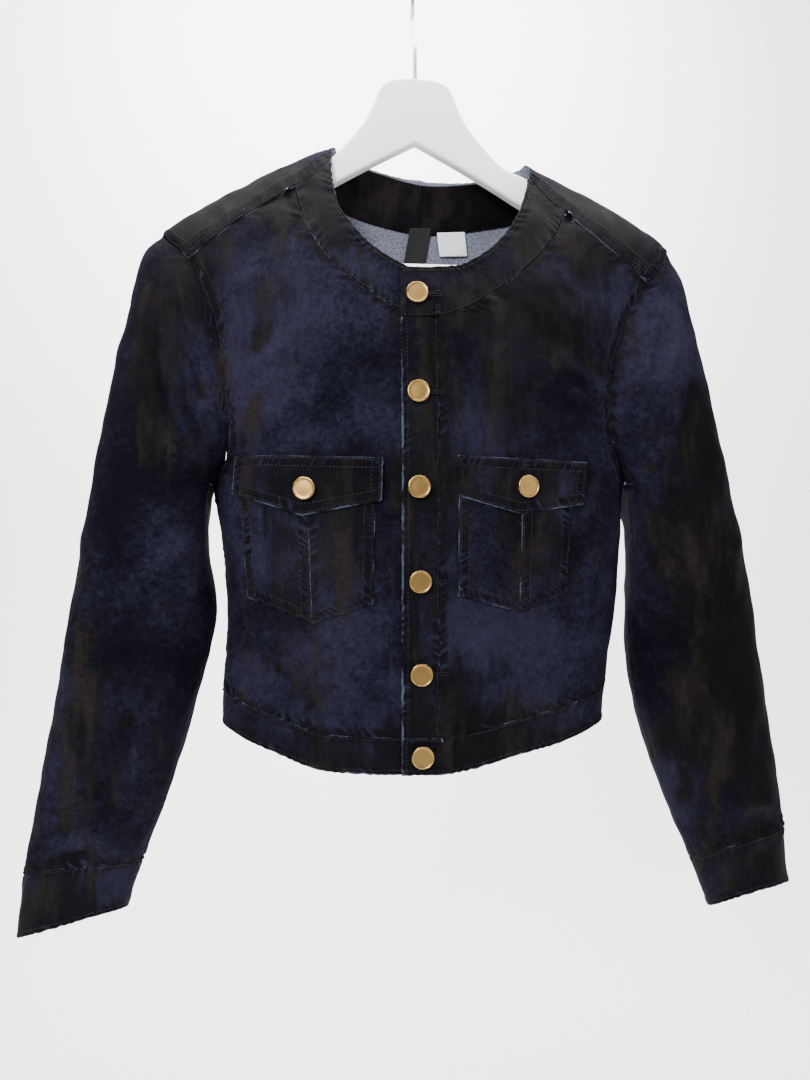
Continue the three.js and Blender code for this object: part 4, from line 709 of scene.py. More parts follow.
def coating(p, n):
    """Share of black coating at each point: a sum of soft ovals."""
    much = np.full(p.shape[:-1], COAT_EVERYWHERE)
    for i in range(len(COATING["x"])):
        c = {k: v[i] for k, v in COATING.items()}
        oval = ((p[..., 0] - c["x"]) / c["wide"]) ** 2 + ((p[..., 2] - c["z"]) / c["tall"]) ** 2
        much = much + c["much"] * np.exp(-oval) * facing(n, c["face"])
    return np.clip(much, 0, 1)


class Cloth:
    """A piece of cloth on a grid, in millimetres. Its seams add to the height of each point
    above the plain surface and to its wear; shape() then moves the points out."""

    def __init__(self, name, points, wall, group="body", tube=False, zero=0.5):
        self.name, self.flat, self.wall, self.group, self.tube = name, points, wall, group, tube
        self.n = normals(points, tube)
        self.high = np.zeros(points.shape[:-1])
        self.wear = np.zeros(points.shape[:-1])
        # Share of black coating here; seam() and shape() later add painted shade to it in the troughs of seam
        # ripples and the hollows of folds.
        self.coat = coating(points, self.n)
        self.seams = []
        across = np.linalg.norm(np.diff(points, axis=1), axis=-1)
        down = np.linalg.norm(np.diff(points, axis=0), axis=-1)
        u = np.pad(np.cumsum(across, 1), ((0, 0), (1, 0)))
        v = np.pad(np.cumsum(down, 0), ((1, 0), (0, 0)))
        u = u - u[:, [int(zero * (u.shape[1] - 1))]]
        self.weave = np.stack([u, v], -1)

    def seam(self, where, rows=(0.0, 1.0), stitches=(), pucker=0.3, edge="over", seed=1.0, worn=0.6,
             slant=0.5, reach=6.0, thick=0.35):
        """Shapes the cloth along an edge: ripples that die away from it, a groove under each
        row of stitches, a fold's thickness up to the last row, and an edge that rolls in."""
        line = {"first": self.flat[:, 0], "last": self.flat[:, -1],
                "top": self.flat[0], "bottom": self.flat[-1]}[where]
        a, b = (int(round(share * (len(line) - 1))) for share in rows)
        path = line[a:b + 1]
        if self.tube:
            path = np.concatenate([path, path[:1]])
        off, along, length = measure(self.flat, path)
        last = max(stitches) if stitches else 3.0
        pitch = RIPPLE_PITCH_DOUBLE if len(stitches) == 2 else RIPPLE_PITCH
        ripples = ripple(along + slant * off, seed, pitch)
        near_seam = np.exp(-(((off - 0.5 * last) / reach) ** 2)) * smooth(off / 1.5)
        self.high += 1.7 * pucker * ripples * near_seam
        if stitches:
            self.high += thick * smooth((last + 2.5 - off) / 2.5)
        for row in stitches:
            self.high -= GROOVE_DEEP * np.exp(-(((off - row) / GROOVE_HALF) ** 2))
        if edge == "over":
            self.high -= EDGE_ROLL * np.exp(-((off / GROOVE_HALF) ** 2))
        uneven = 0.8 + 0.4 * np.sin(along / 8 + 3 * np.sin(along / 29 + seed))
        near = np.exp(-((off / 1.0) ** 2)) * uneven
        band = np.exp(-(((off - 0.5 * last) / 3.2) ** 2))
        self.wear += worn * 0.45 * np.clip(ripples, 0, 1) * band
        if edge != "under":
            self.wear += worn * 1.15 * near
        # Painted shade and light: the black coating is raised in the ripples' troughs and lowered on their
        # crests.
        self.coat += 0.8 * (0.35 - ripples) * band
        self.seams.append((where, off, along, length, stitches))

    def shape(self, creases=1.0):
        folds = drape(self.group, self.flat, self.n, creases)
        self.high += folds
        self.wear += 0.12 * np.clip(folds - 0.8, 0, 3)
        # Painted shade: the black coating is raised in the hollows of the folds.
        self.coat += 0.15 * np.clip(-folds - 0.5, 0, 2)
        self.p = self.flat + self.n * self.high[..., None]
        return self

    def stitch_lines(self):
        """Points and normals along each row of stitches, where the distance from its edge
        reaches the row's, one crossing to a row or column of the grid."""
        up = normals(self.p, self.tube)
        found = []
        for where, off, along, length, stitches in self.seams:
            turn = where in ("top", "bottom")
            back = where in ("last", "bottom")
            view = lambda a: (a.swapaxes(0, 1) if turn else a)[:, ::-1 if back else 1]
            others = [view(s[1]) for s in self.seams if s[1] is not off and s[4]]
            f, s, p, n = view(off), view(along), view(self.p), view(up)
            r = np.arange(len(f))
            for level in stitches:
                inside = f >= level
                i = np.argmax(inside, axis=1)
                low = np.maximum(i - 1, 0)
                t = (level - f[r, low]) / np.maximum(f[r, i] - f[r, low], 1e-6)
                good = inside.any(1) & (i > 0) & (s[r, i] > 0.3) & (s[r, i] < length - 0.3)
                for other in others:
                    good &= other[r, i] > min(level, 2.0) - 0.3
                points = mix(p[r, low], p[r, i], t[:, None])
                cuts = np.flatnonzero(np.diff(good.astype(int))) + 1
                for run in np.split(r, cuts):
                    if good[run[0]] and len(run) > 3:
                        if self.tube and turn and len(run) == len(r):
                            run = np.append(run, run[0])
                        found.append((points[run], n[run, i[run]]))
        return found

    def tuck(self, where, much=None):
        """Adds a strip beyond an edge, out and down under the neighbouring piece, by a share
        much at each point of the edge."""
        axis = 0 if where in ("top", "bottom") else 1
        at, inner = (0, 1) if where in ("top", "first") else (-1, -2)
        up = normals(self.p, self.tube)
        take = lambda a, k: np.take(a, [k], axis=axis)
        edge, beside = take(self.p, at), take(self.p, inner)
        away = (edge - beside) / np.maximum(np.linalg.norm(edge - beside, axis=-1, keepdims=True), 1e-9)
        much = np.ones(edge.shape[:-1]) if much is None else np.reshape(much, edge.shape[:-1])
        out, under = away * TUCK_OUT, take(up, at) * TUCK_UNDER
        strips = [edge + (out * 0.3 - under * 0.85) * np.maximum(much, 0.02)[..., None],
                  edge + (out - under) * np.maximum(much, 0.04)[..., None]]
        join = lambda a, new: np.concatenate(new[::-1] + [a] if at == 0 else [a] + new, axis=axis)
        self.p = join(self.p, strips)
        for name in ("wear", "coat", "weave"):
            a = getattr(self, name)
            setattr(self, name, join(a, [take(a, at)] * 2))
        return self


# Meshes


def build_mesh(name, points, faces, materials, weave=None, fields=None, which=None, turn=0.0):
    """An object from points in millimetres and faces, riding on the part's one body. weave
    holds the cloth's own coordinates and fields a value at each point, by name. turn is the
    length round a tube, added where a face closes it."""
    mesh = bpy.data.meshes.new(name)
    mesh.from_pydata((points * MM).tolist(), [], [list(map(int, f)) for f in faces])
    for material in materials:
        mesh.materials.append(material)
    mesh.polygons.foreach_set("use_smooth", np.ones(len(mesh.polygons), bool))
    if which is not None:
        mesh.polygons.foreach_set("material_index", np.asarray(which, np.int32))
    if weave is not None:
        corners = np.empty(len(mesh.loops), np.int32)
        mesh.loops.foreach_get("vertex_index", corners)
        layer = mesh.uv_layers.new(name="weave")
        uv = weave[corners]
        if turn:
            four = uv.reshape(-1, 4, 2)
            wide = np.ptp(four[..., 0], axis=1) > 0.5 * turn
            four[wide, :, 0] += np.where(four[wide, :, 0] < four[wide, :, 0].mean(1)[:, None], turn, 0)
        layer.uv.foreach_set("vector", (uv * MM).astype(np.float32).ravel())
    for field, values in (fields or {}).items():
        attribute = mesh.attributes.new(field, "FLOAT", "POINT")
        attribute.data.foreach_set("value", np.asarray(values, np.float32))
    mesh.update()
    piece = bpy.data.objects.new(name, mesh)
    bpy.context.scene.collection.objects.link(piece)
    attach(piece, "root")
    return piece


def cloth_piece(cloth, materials):
    """Closed cloth: the grid, the same grid moved in by the wall, and a rounded rim whose
    middle stands out by a third of the wall."""
    p, wall = cloth.p, cloth.wall
    inner = p - normals(p, cloth.tube) * wall
    rows, cols = p.shape[:2]
    count = rows * cols
    ids = np.arange(count).reshape(rows, cols)
    if cloth.tube:
        ids = np.concatenate([ids, ids[:, :1]], 1)
        rims = [ids[0, :-1], ids[-1, :0:-1]]
    else:
        rims = [np.concatenate([ids[0, :-1], ids[:-1, -1], ids[-1, :0:-1], ids[:0:-1, 0]])]
    sheet = np.stack([ids[:-1, :-1], ids[1:, :-1], ids[1:, 1:], ids[:-1, 1:]], -1).reshape(-1, 4)
    faces = [sheet, sheet[:, ::-1] + count]
    which = [np.zeros(len(sheet), int), np.ones(len(sheet), int)]
    flat, below = p.reshape(-1, 3), inner.reshape(-1, 3)
    points, extra = [flat, below], []
    for rim in rims:
        r, c = rim // cols, rim % cols
        inside = p[np.clip(r, 1, rows - 2), c if cloth.tube else np.clip(c, 1, cols - 2)]
        away = flat[rim] - inside
        away /= np.maximum(np.linalg.norm(away, axis=1, keepdims=True), 1e-9)
        middle = sum(len(a) for a in points) + np.arange(len(rim))
        points.append((flat[rim] + below[rim]) / 2 + away * wall * RIM_OUT)
        extra.append(rim)
        after, middle_after = np.roll(rim, -1), np.roll(middle, -1)
        faces.append(np.stack([rim, after, middle_after, middle], -1))
        faces.append(np.stack([middle, middle_after, after + count, rim + count], -1))
        which += [np.zeros(2 * len(rim), int)]
    extra = np.concatenate(extra)
    spread = lambda a: np.concatenate([a, a, a[extra]])
    fields = {name: spread(getattr(cloth, name).ravel()) for name in ("wear", "coat")}
    piece = build_mesh(cloth.name + "_cloth", np.concatenate(points), np.concatenate(faces), materials,
                       spread(cloth.weave.reshape(-1, 2)), fields, np.concatenate(which),
                       np.ptp(cloth.weave[..., 0]) if cloth.tube else 0.0)
    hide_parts(cloth.name)
    return piece


def thread_mesh(name, starts, ends, up, wide, high, material):
    """Closed threads: each a four-sided dome over its line, narrowed at both ends."""
    share = np.array([0.0, 0.25, 0.75, 1.0])
    full = np.array([0.3, 1.0, 1.0, 0.3])
    along = ends - starts
    side = np.cross(along, up)
    side /= np.maximum(np.linalg.norm(side, axis=1, keepdims=True), 1e-9)
    centre = starts[:, None] + along[:, None] * share[None, :, None]
    ring = []
    for s, h in ((-0.5, 0.15), (0.0, 1.0), (0.5, 0.15), (0.0, -0.6)):
        shift = side[:, None] * wide * s + up[:, None] * high * h
        ring.append(centre + shift * full[None, :, None])
    points = np.stack(ring, 2).reshape(-1, 3)
    base = 16 * np.arange(len(starts))[:, None, None]
    k = np.arange(4)
    rings = 4 * np.arange(3)[:, None] + k[None, :]
    after = 4 * np.arange(3)[:, None] + (k[None, :] + 1) % 4
    quads = np.stack([rings, rings + 4, after + 4, after], -1).reshape(1, -1, 4)
    caps = np.array([[[0, 1, 2, 3], [15, 14, 13, 12]]])
    faces = (np.concatenate([quads, caps], 1) + base).reshape(-1, 4)
    return build_mesh(name, points, faces, [material])


def sew(cloth, sizes):
    """Stitches along every row of a piece, a little uneven in length."""
    starts, ends, ups = [], [], []
    for points, up in cloth.stitch_lines():
        length = np.concatenate([[0], np.cumsum(np.linalg.norm(np.diff(points, axis=0), axis=1))])
        count = int(length[-1] * MM / sizes.stitch_pitch)
        if count < 2:
            continue
        middle = (np.arange(count) + 0.5) * length[-1] / count
        half = sizes.stitch_pitch / MM * (0.36 + 0.04 * np.sin(2.4 * np.arange(count)))
        at = lambda s, a: np.stack([np.interp(s, length, a[:, i]) for i in range(3)], -1)
        starts.append(at(middle - half, points))
        ends.append(at(middle + half, points))
        ups.append(at(middle, up))
    if not starts:
        return None
    starts, ends, ups = (np.concatenate(a) for a in (starts, ends, ups))
    return thread_mesh(cloth.name + "_stitches", starts, ends, ups, sizes.stitch_wide / MM,
                       sizes.stitch_high / MM, finish("thread"))


# Finishes


class Value:
    """A number in a material's nodes. Arithmetic on it adds Math nodes."""

    def __init__(self, made, socket):
        self.made, self.socket = made, socket

    def apply(self, operation, *values):
        return self.made.node("Math", {"operation": operation}, 0, *values)

    def __add__(self, other):
        return self.apply("ADD", self, other)

    __radd__ = __add__

    def __sub__(self, other):
        return self.apply("SUBTRACT", self, other)

    def __rsub__(self, other):
        return self.apply("SUBTRACT", other, self)

    def __mul__(self, other):
        return self.apply("MULTIPLY", self, other)

    __rmul__ = __mul__

    def __truediv__(self, other):
        return self.apply("DIVIDE", self, other)

    def wave(self):
        return self.apply("SINE", self * (2 * math.pi))

    def step(self, low, high):
        """0 below low, 1 above high and smooth between."""
        kind = {"interpolation_type": "SMOOTHSTEP"}
        return self.made.node("MapRange", kind, 0, self, low, high, 0.0, 1.0)


class Finish:
    """A material with one Principled shader, whose unvarying sockets are set here."""

    def __init__(self, name, **constants):
        self.material = bpy.data.materials.new(name)
        self.material.use_nodes = True
        self.nodes, self.links = self.material.node_tree.nodes, self.material.node_tree.links
        self.shader = self.nodes["Principled BSDF"]
        for socket, value in constants.items():
            self.shader.inputs[socket.replace("_", " ")].default_value = value

    def node(self, kind, settings=None, out=0, *values, **named):
        """Adds a node of a kind, sets it up, gives its sockets their values or links, in
        order or by name, and returns its output."""
        added = self.nodes.new("ShaderNode" + kind)
        for key, value in (settings or {}).items():
            setattr(added, key, value)
        for key, value in [*enumerate(values), *((k.replace("_", " "), v) for k, v in named.items())]:
            if isinstance(value, Value):
                self.links.new(value.socket, added.inputs[key])
            elif value is not None:
                added.inputs[key].default_value = value
        return Value(self, added.outputs[out])

    def place(self, source, scale):
        """Coordinates stretched by scale: the object's own, or the cloth's weave."""
        weave = source == "weave"
        base = self.node("UVMap", {"uv_map": "weave"}) if weave else self.node("TexCoord", out=3)
        return self.node("Mapping", None, 0, Vector=base, Scale=scale)

    def noise(self, source, scale, detail=3.0, rough=0.55, stretch=(1, 1, 1), warp=0.0):
        where = self.place(source, tuple(scale * s for s in stretch))
        return self.node("TexNoise", None, 0, Vector=where, Scale=1.0, Detail=detail,
                         Roughness=rough, Distortion=warp)

    def blend(self, share, first, second):
        """First colour to second by a share."""
        made = self.node("Mix", {"data_type": "RGBA"}, 2)
        mixer = made.socket.node
        for key, value in ((0, share), (6, first), (7, second)):
            if isinstance(value, Value):
                self.links.new(value.socket, mixer.inputs[key])
            else:
                mixer.inputs[key].default_value = value if key == 0 else (*value, 1)
        return made

    def scaled(self, colour, much):
        """A colour times a number."""
        return self.node("VectorMath", {"operation": "SCALE"}, 0, Vector=colour, Scale=much)

    def feed(self, socket, value):
        self.links.new(value.socket, self.shader.inputs[socket])

    def bump(self, height, distance, strength=1.0):
        self.feed("Normal", self.node("Bump", None, 0, Height=height, Distance=distance, Strength=strength))


def twill(made):
    """Diagonal lines of a twill: a sine of u and v at 1.1 mm, shaken by fine noise."""
    parts = made.node("SeparateXYZ", None, 0, made.place("weave", (1, 1, 1)))
    u, v = parts, Value(made, parts.socket.node.outputs[1])
    return ((u * 0.86 + v * 0.52) / 0.0011 + made.noise("weave", 420, 2) * 1.4).wave()


def coated_denim(colours):
    """Dark indigo twill under an uneven black coating, worn pale along edges; the coating is also laid
    thicker in fold hollows and seam-ripple troughs as painted shade.
    """
    made = Finish("coated_denim", Specular_IOR_Level=0.045)
    lines = twill(made)
    yarn = made.noise("weave", 1.0, 3, 0.6, (1300, 240, 1))
    cloud = made.noise("object", 11.0, 5, 0.62)
    blotch = made.noise("object", 34.0, 6, 0.72, (1, 1, 0.8), 0.6)
    streak = made.noise("object", 70.0, 6, 0.7, (1.0, 1.0, 0.14))
    mottle = made.noise("object", 230.0, 5, 0.78)
    fine = made.noise("object", 900.0, 2, 0.7)
    # Share of black coating, with painted shade added in fold hollows and seam-ripple troughs.
    coat = made.node("Attribute", {"attribute_name": "coat"}, 2)
    wear = made.node("Attribute", {"attribute_name": "wear"}, 2)
    shade = (cloud * 0.8 + mottle * 0.3).step(0.42, 0.68)
    indigo = made.blend(shade, colours.indigo_dark, colours.indigo_light)
    # Share covered by the black coating colour, painted shade in hollows included.
    coated_and_shaded = (coat + (blotch - 0.5) * 0.9 + (streak - 0.5) * 1.2 + (mottle - 0.5) * 0.4).step(0.36, 0.68)
    rust = (made.noise("object", 24.0, 4, 0.6, (1, 1, 0.4)) + (streak - 0.5) * 0.7).step(0.46, 0.7)
    black = made.blend(rust, colours.coat_black, colours.coat_brown)
    colour = made.blend(coated_and_shaded * 0.92, indigo, black)
    rubbed = (wear + (mottle - 0.5) * 1.2 + (yarn - 0.5) * 0.5 + (blotch - 0.5) * 0.6).step(0.45, 1.25)
    colour = made.blend(rubbed * 0.8, colour, colours.worn_blue)
    grain = lines * 0.2 + (yarn - 0.5) * 1.3 + (mottle - 0.5) * 2.0
    grain = grain + (fine - 0.5) * 0.8 + (cloud - 0.5) * 0.9 + 1.0
    made.feed("Base Color", made.scaled(colour, grain.apply("MAXIMUM", grain, 0.15)))
    made.feed("Roughness", 0.88 - coated_and_shaded * 0.2 + rubbed * 0.08)
    made.bump(lines * 0.2 + yarn * 0.6 + fine * 0.4 + mottle * 0.9 + coated_and_shaded * 0.4, 0.0005, 0.6)
    return made.material


def denim_wrong_side(colours):
    """Pale wrong side of the twill: white weft with flecks of the blue warp."""
    made = Finish("denim_wrong_side", Specular_IOR_Level=0.2)
    lines = twill(made)
    yarn = made.noise("weave", 1.0, 3, 0.6, (420, 1300, 1))
    fleck = made.noise("weave", 620, 4, 0.85)
    shade = made.noise("object", 26.0, 4)
    colour = made.blend((fleck + lines * 0.08).step(0.4, 0.62), colours.inside_blue, colours.inside_pale)
    grain = (yarn - 0.5) * 1.0 + (fleck - 0.5) * 1.6 + (shade - 0.5) * 0.7 + 1.0
    made.feed("Base Color", made.scaled(colour, grain.apply("MAXIMUM", grain, 0.2)))
    made.feed("Roughness", 0.85 + yarn * 0.1)
    made.bump(lines * 0.3 + yarn * 0.7 + fleck * 0.4, 0.0003, 0.6)
    return made.material


def thread(colours):
    """Dark waxed sewing thread, twisted."""
    made = Finish("thread", Specular_IOR_Level=0.15)
    grain = made.noise("object", 900.0, 2)
    patch = made.noise("object", 40.0, 3)
    made.feed("Base Color", made.blend(patch.step(0.35, 0.7), colours.thread_dark, colours.thread_light))
    made.feed("Roughness", 0.55 + grain * 0.3)
    made.bump(grain, 0.0002, 0.5)
    return made.material


def brushed_brass(colours):
    """Pale brass with fine brushing and a few dull spots."""
    made = Finish("brushed_brass", Metallic=1.0)
    brush = made.noise("object", 1.0, 4, 0.6, (220, 900, 2600))
    spots = made.noise("object", 320.0, 4, 0.6).step(0.5, 0.75)
    rim = made.node("Attribute", {"attribute_name": "wear"}, 2)
    colour = made.blend(brush * 0.5 + spots * 0.3, colours.brass, tuple(0.72 * c for c in colours.brass))
    made.feed("Base Color", made.blend(rim, colour, tuple(min(1.0, 1.2 * c) for c in colours.brass)))
    made.feed("Roughness", 0.28 + brush * 0.16 + spots * 0.12 - rim * 0.12)
    made.bump(brush, 0.00006, 0.6)
    return made.material


def woven_tape(name, light, dark, gloss):
    """Blank label tape with a fine cross weave."""
    made = Finish(name, Sheen_Weight=0.1, Specular_IOR_Level=0.4)
    ribs = (made.node("SeparateXYZ", None, 1, made.place("weave", (1, 1, 1))) / 0.0007).wave()
    grain = made.noise("weave", 1600, 2)
    made.feed("Base Color", made.blend(grain * 0.6 + (ribs * 0.5 + 0.5) * 0.25, light, dark))
    made.feed("Roughness", gloss + grain * 0.2)
    made.bump(ribs * 0.5 + grain, 0.0001, 0.5)
    return made.material


def painted_wood(colours):
    """Off-white paint over fine-grained wood, slightly worn and yellowed."""
    made = Finish("painted_wood", Specular_IOR_Level=0.45)
    grain = made.noise("object", 1.0, 4, 0.6, (22, 60, 320))
    tone = made.noise("object", 12.0, 3)
    speck = made.noise("object", 260.0, 2).step(0.66, 0.8)
    colour = made.blend(tone.step(0.35, 0.7) * 0.5, colours.paint, tuple(0.93 * c for c in colours.paint))
    made.feed("Base Color", made.blend(speck * 0.25, colour, tuple(0.75 * c for c in colours.paint)))
    made.feed("Roughness", 0.38 + tone * 0.12 + grain * 0.08)
    made.bump(grain * 0.6 + tone * 0.3, 0.00012, 0.35)
    return made.material


def steel_wire(colours):
    """Drawn wire with a faint dull film."""
    made = Finish("steel_wire", Metallic=1.0)
    film = made.noise("object", 1.0, 4, 0.6, (300, 300, 60))
    made.feed("Base Color", made.blend(film, colours.steel, tuple(0.7 * c for c in colours.steel)))
    made.feed("Roughness", 0.24 + film * 0.2)
    made.bump(film, 0.00005, 0.4)
    return made.material


def pale_floor(colours):
    made = Finish("pale_floor", Roughness=0.7)
    tone = made.noise("object", 2.0, 3)
    made.feed("Base Color", made.blend(tone * 0.4, colours.floor, tuple(0.97 * c for c in colours.floor)))
    return made.material


# Blank label tapes: light and dark yarn, and roughness.
TAPES = {
    "black_tape": ((0.005, 0.005, 0.006), (0.002, 0.002, 0.0025), 0.75),
    "satin_tape": ((0.83, 0.84, 0.88), (0.66, 0.68, 0.74), 0.35),
}
FINISHES = {
    "coated_denim": coated_denim,
    "denim_wrong_side": denim_wrong_side,
    "thread": thread,
    "brushed_brass": brushed_brass,
    "black_tape": lambda colours: woven_tape("black_tape", *TAPES["black_tape"]),
    "satin_tape": lambda colours: woven_tape("satin_tape", *TAPES["satin_tape"]),
    "painted_wood": painted_wood,
    "steel_wire": steel_wire,
    "pale_floor": pale_floor,
}


def finish(name):
    """The named material, made the first time it is asked for."""
    found = bpy.data.materials.get(name)
    return found or FINISHES[name](bpy.context.scene.jacket_colours)


# Pieces laid on the fronts


def skin(side, x, z, lift):
    """Point above the outside of a front, soft creases included, and the normal there."""
    lifted = side == "right"
    step = 1.0
    across = body_point(x + step, z, -1, lifted) - body_point(x - step, z, -1, lifted)
    down = body_point(x, z - step, -1, lifted) - body_point(x, z + step, -1, lifted)
    n = np.cross(down, across)
    n /= np.linalg.norm(n, axis=-1, keepdims=True)
    p = body_point(x, z, -1, lifted)
    high = drape("body", p, n, bpy.context.scene.jacket_sizes.crease_scale)
    return p + n * (high + lift)[..., None], n


def patch(side, start, end, lift, rows, across, shape):
    """Four-sided piece on a front between two edges, each from its top to its bottom; shape
    gives the height to add from the shares across and down."""
    v, u = steps(rows, 0.4)[:, None], steps(across, 0.4)[None, :]
    edge = lambda e, k: mix(e["top" + k], e["low" + k], v)
    x = mix(edge(start, "X"), edge(end, "X"), u)
    z = mix(edge(start, "Z"), edge(end, "Z"), u)
    return outwards(skin(side, x, z, lift + shape(u, v))[0], side)


def moved_in(grid, much):
    return grid - normals(grid) * much


def dart(cloth, x, z, dx, dz):
    """A short dart: a groove from a point along a direction, with a puff on each side."""
    size = math.hypot(dx, dz)
    t = ((cloth.flat[..., 0] - x) * dx + (cloth.flat[..., 2] - z) * dz) / size**2
    off = ((cloth.flat[..., 0] - x) * dz - (cloth.flat[..., 2] - z) * dx) / size
    ends = smooth(t / 0.15 + 0.5) * smooth((1 - t) / 0.3)
    cloth.high += ends * (0.8 * np.exp(-((off / 5) ** 2)) - 1.3 * np.exp(-((off / 1.1) ** 2)))
    cloth.wear += 0.5 * ends * np.exp(-((off / 1.3) ** 2))


def sleeve_seam(cloth, seed):
    """The sleeve's long seam on its inner edge: a groove with small ripples beside it."""
    middle = cloth.flat.shape[1] // 2
    off, along = measure(cloth.flat, cloth.flat[:, middle])[:2]
    cloth.high += 0.3 * ripple(along, seed) * np.exp(-((off / 6) ** 2)) - 0.7 * np.exp(-((off / 0.9) ** 2))
    cloth.wear += 0.4 * np.exp(-((off / 1.2) ** 2))


def edge_row(rows, i):
    return {name: values[i] for name, values in rows.items()}


class PatchCloth(Cloth):
    """Cloth that already lies on the creased front, so it takes no creases of its own."""

    def shape(self, creases=0.0):
        self.p = self.flat + self.n * self.high[..., None]
        return self


def finish_cloth(cloth, sizes, rests_on, inside="denim_wrong_side", tucks=(),
                 face="coated_denim"):
    """Shapes a piece, sews it, tucks its hidden edges and builds it."""
    cloth.high = cloth.high * sizes.pucker_scale
    cloth.shape(sizes.crease_scale)
    stitches = sew(cloth, sizes)
    for where, much in tucks:
        cloth.tuck(where, much)
    piece = cloth_piece(cloth, [finish(face), finish(inside)])
    return piece


# Hard pieces

POCKET_BUTTONS = {"left": (-88, -434), "right": (79, -432)}
# Bust darts: where each starts on the armhole side and which way it runs.
DARTS = {"left": (-143, -449, 9, 9), "right": (133, -450, -9, -10)}
# Blank labels: left and right ends and heights of the top edge, shift and length downwards.
LABELS = {"black": (-1, 17, -200, -200, -5, 30), "white": (23, 47, -203, -202, 3, 19)}
WOOD_THICK, WOOD_EDGE, HANGER_END, HANGER_STATIONS = 12, 2.6, 18, 150
BAR_Z, BAR_HALF = -247.5, 171.5
# Hook: wire radius, radius and height of the bend, its turns in degrees, and the stem's places.
HOOK_WIRE, HOOK_RING, HOOK_HIGH = 1.6, 23.6, -22
HOOK_TURNS = (-48, -24, 0, 24, 48, 70, 90, 110, 135, 160, 185, 208)
HOOK_STEM = [(0, 0, -90.6), (0, 0, -74), (0, 0.6, -64), (0, 5, -53)]
HOOK_PLACES, HOOK_AROUND = 260, 16
# Turned bar: radius at each place along it from an end, then the same from the other end.
BAR_RADII = (2.6, 3.7, 4.3, 4.5, 4.5, 4.3, 3.7, 2.6)
BAR_PLACES = (0, 0.25, 0.8, 1.9)
BAR_AROUND = 40
# Buttonhole: step along it, where its cross stitches start and end, and its thread.
HOLE_STEP, HOLE_INNER, HOLE_OUTER = 0.75, 0.35, 1.5
HOLE_THREAD_WIDE, HOLE_THREAD_HIGH = 0.62, 0.4
# Height of the floor, where it starts to curve up and how far it then rises, in metres.
FLOOR_Z, FLOOR_BACK, FLOOR_CURVE = -1.12, 0.7, 0.8
ROOM_LIGHT, ROOM_COLOUR = 0.3, (0.98, 0.98, 1.0)
# The photograph's view: sensor and lens in millimetres, place in metres, turn in degrees.
SENSOR, LENS, CAMERA_PLACE, CAMERA_TURN = 36, 28.33, (-0.07, -0.7046, -0.4728), -5
# Soft lights: place, what each points at, size and power, in metres and watts.
LIGHTS = (
    ("key", (-0.75, -1.5, 0.25), (0, 0, -0.42), 0.5, 54),
    ("fill", (1.3, -1.4, -0.2), (0, 0, -0.45), 1.2, 12),
    ("top", (0.4, 0.5, 1.1), (0, 0, -0.3), 0.9, 3.5),
    ("neck", (0.1, -0.9, 0.7), (0, 0.02, -0.2), 0.5, 3),
    ("wall", (0, 0.35, 0.9), (0, 1.5, 0.0), 1.6, 150),
)


def soft_light(name, place, target, size, power):
    light = bpy.data.lights.new(name, "AREA")
    light.size, light.energy = size, power
    lamp = bpy.data.objects.new(name, light)
    lamp.location = place
    away = np.subtract(target, place)
    lamp.rotation_euler = (math.atan2(math.hypot(away[0], away[1]), -away[2]), 0,
                           math.atan2(away[1], away[0]) - math.pi / 2)
    return lamp


def hook_path():
    """Path of the hook's wire, its radius, its sides and how the radius falls at its round
    ends."""
    turns = np.radians(HOOK_TURNS)
    ring = np.stack([0 * turns, HOOK_RING * np.cos(turns), HOOK_HIGH + HOOK_RING * np.sin(turns)], -1)
    places = np.concatenate([HOOK_STEM, ring])
    k = np.concatenate([[0], np.cumsum(np.linalg.norm(np.diff(places, axis=0), axis=1))])
    at = np.linspace(0, k[-1], HOOK_PLACES)
    path = np.stack([curve(k, places[:, i], at) for i in range(3)], -1)
    end = np.clip(np.minimum(at, k[-1] - at) / HOOK_WIRE, 0, 1)
    return path, HOOK_WIRE, HOOK_AROUND, np.sqrt(np.maximum(0.02, 1 - (1 - end) ** 2))


def turned(foot, axis, profile, around):
    """Points and faces of a profile of radius and height turned about an axis from a foot."""
    axis = axis / np.linalg.norm(axis)
    side = np.cross(axis, [0.0, 0.0, 1.0])
    side /= np.linalg.norm(side)
    up = np.cross(axis, side)
    turn = np.linspace(0, 2 * np.pi, around, endpoint=False)[None, :]
    radius, height = profile[:, :1, None], profile[:, 1:, None]
    ring = np.cos(turn)[..., None] * side + np.sin(turn)[..., None] * up
    points = foot + axis * height + ring * radius
    ids = np.arange(points.shape[0] * around).reshape(points.shape[0], around)
    after = np.roll(ids, -1, 1)
    faces = np.stack([ids[:-1], after[:-1], after[1:], ids[1:]], -1).reshape(-1, 4)
    return points.reshape(-1, 3), [*faces, ids[0][::-1], ids[-1]]


# Button, turned: radius and height from the shank's foot, over the rim to the middle.
BUTTON = np.array([
    (2.0, -0.6), (2.3, 0.2), (2.5, 1.2), (3.0, 2.0), (5.6, 2.3), (7.9, 2.5), (8.5, 2.9),
    (8.62, 3.4), (8.5, 3.95), (8.2, 4.25), (7.9, 4.33), (7.6, 4.25), (7.4, 4.05), (7.2, 3.98),
    (5.4, 4.04), (3.4, 4.1), (1.6, 4.14), (0.4, 4.15),
])
BUTTON_AROUND, RIM_RADIUS, RIM_HIGH = 56, 7.5, 3


def button(name, side, x, z, lift):
    """A metal shank button: a dished disc with a raised rim on a waisted shank."""
    point, n = skin(side, np.array([x], float), np.array([z], float), np.array([lift + GAP]))
    points, faces = turned(point[0], n[0], BUTTON, BUTTON_AROUND)
    radius, height = np.repeat(BUTTON, BUTTON_AROUND, axis=0).T
    rim = (radius > RIM_RADIUS) & (height > RIM_HIGH)
    piece = build_mesh(name + "_metal", points, faces, [finish("brushed_brass")],
                       fields={"wear": rim.astype(float) * 0.8})
    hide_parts(name)
    return piece


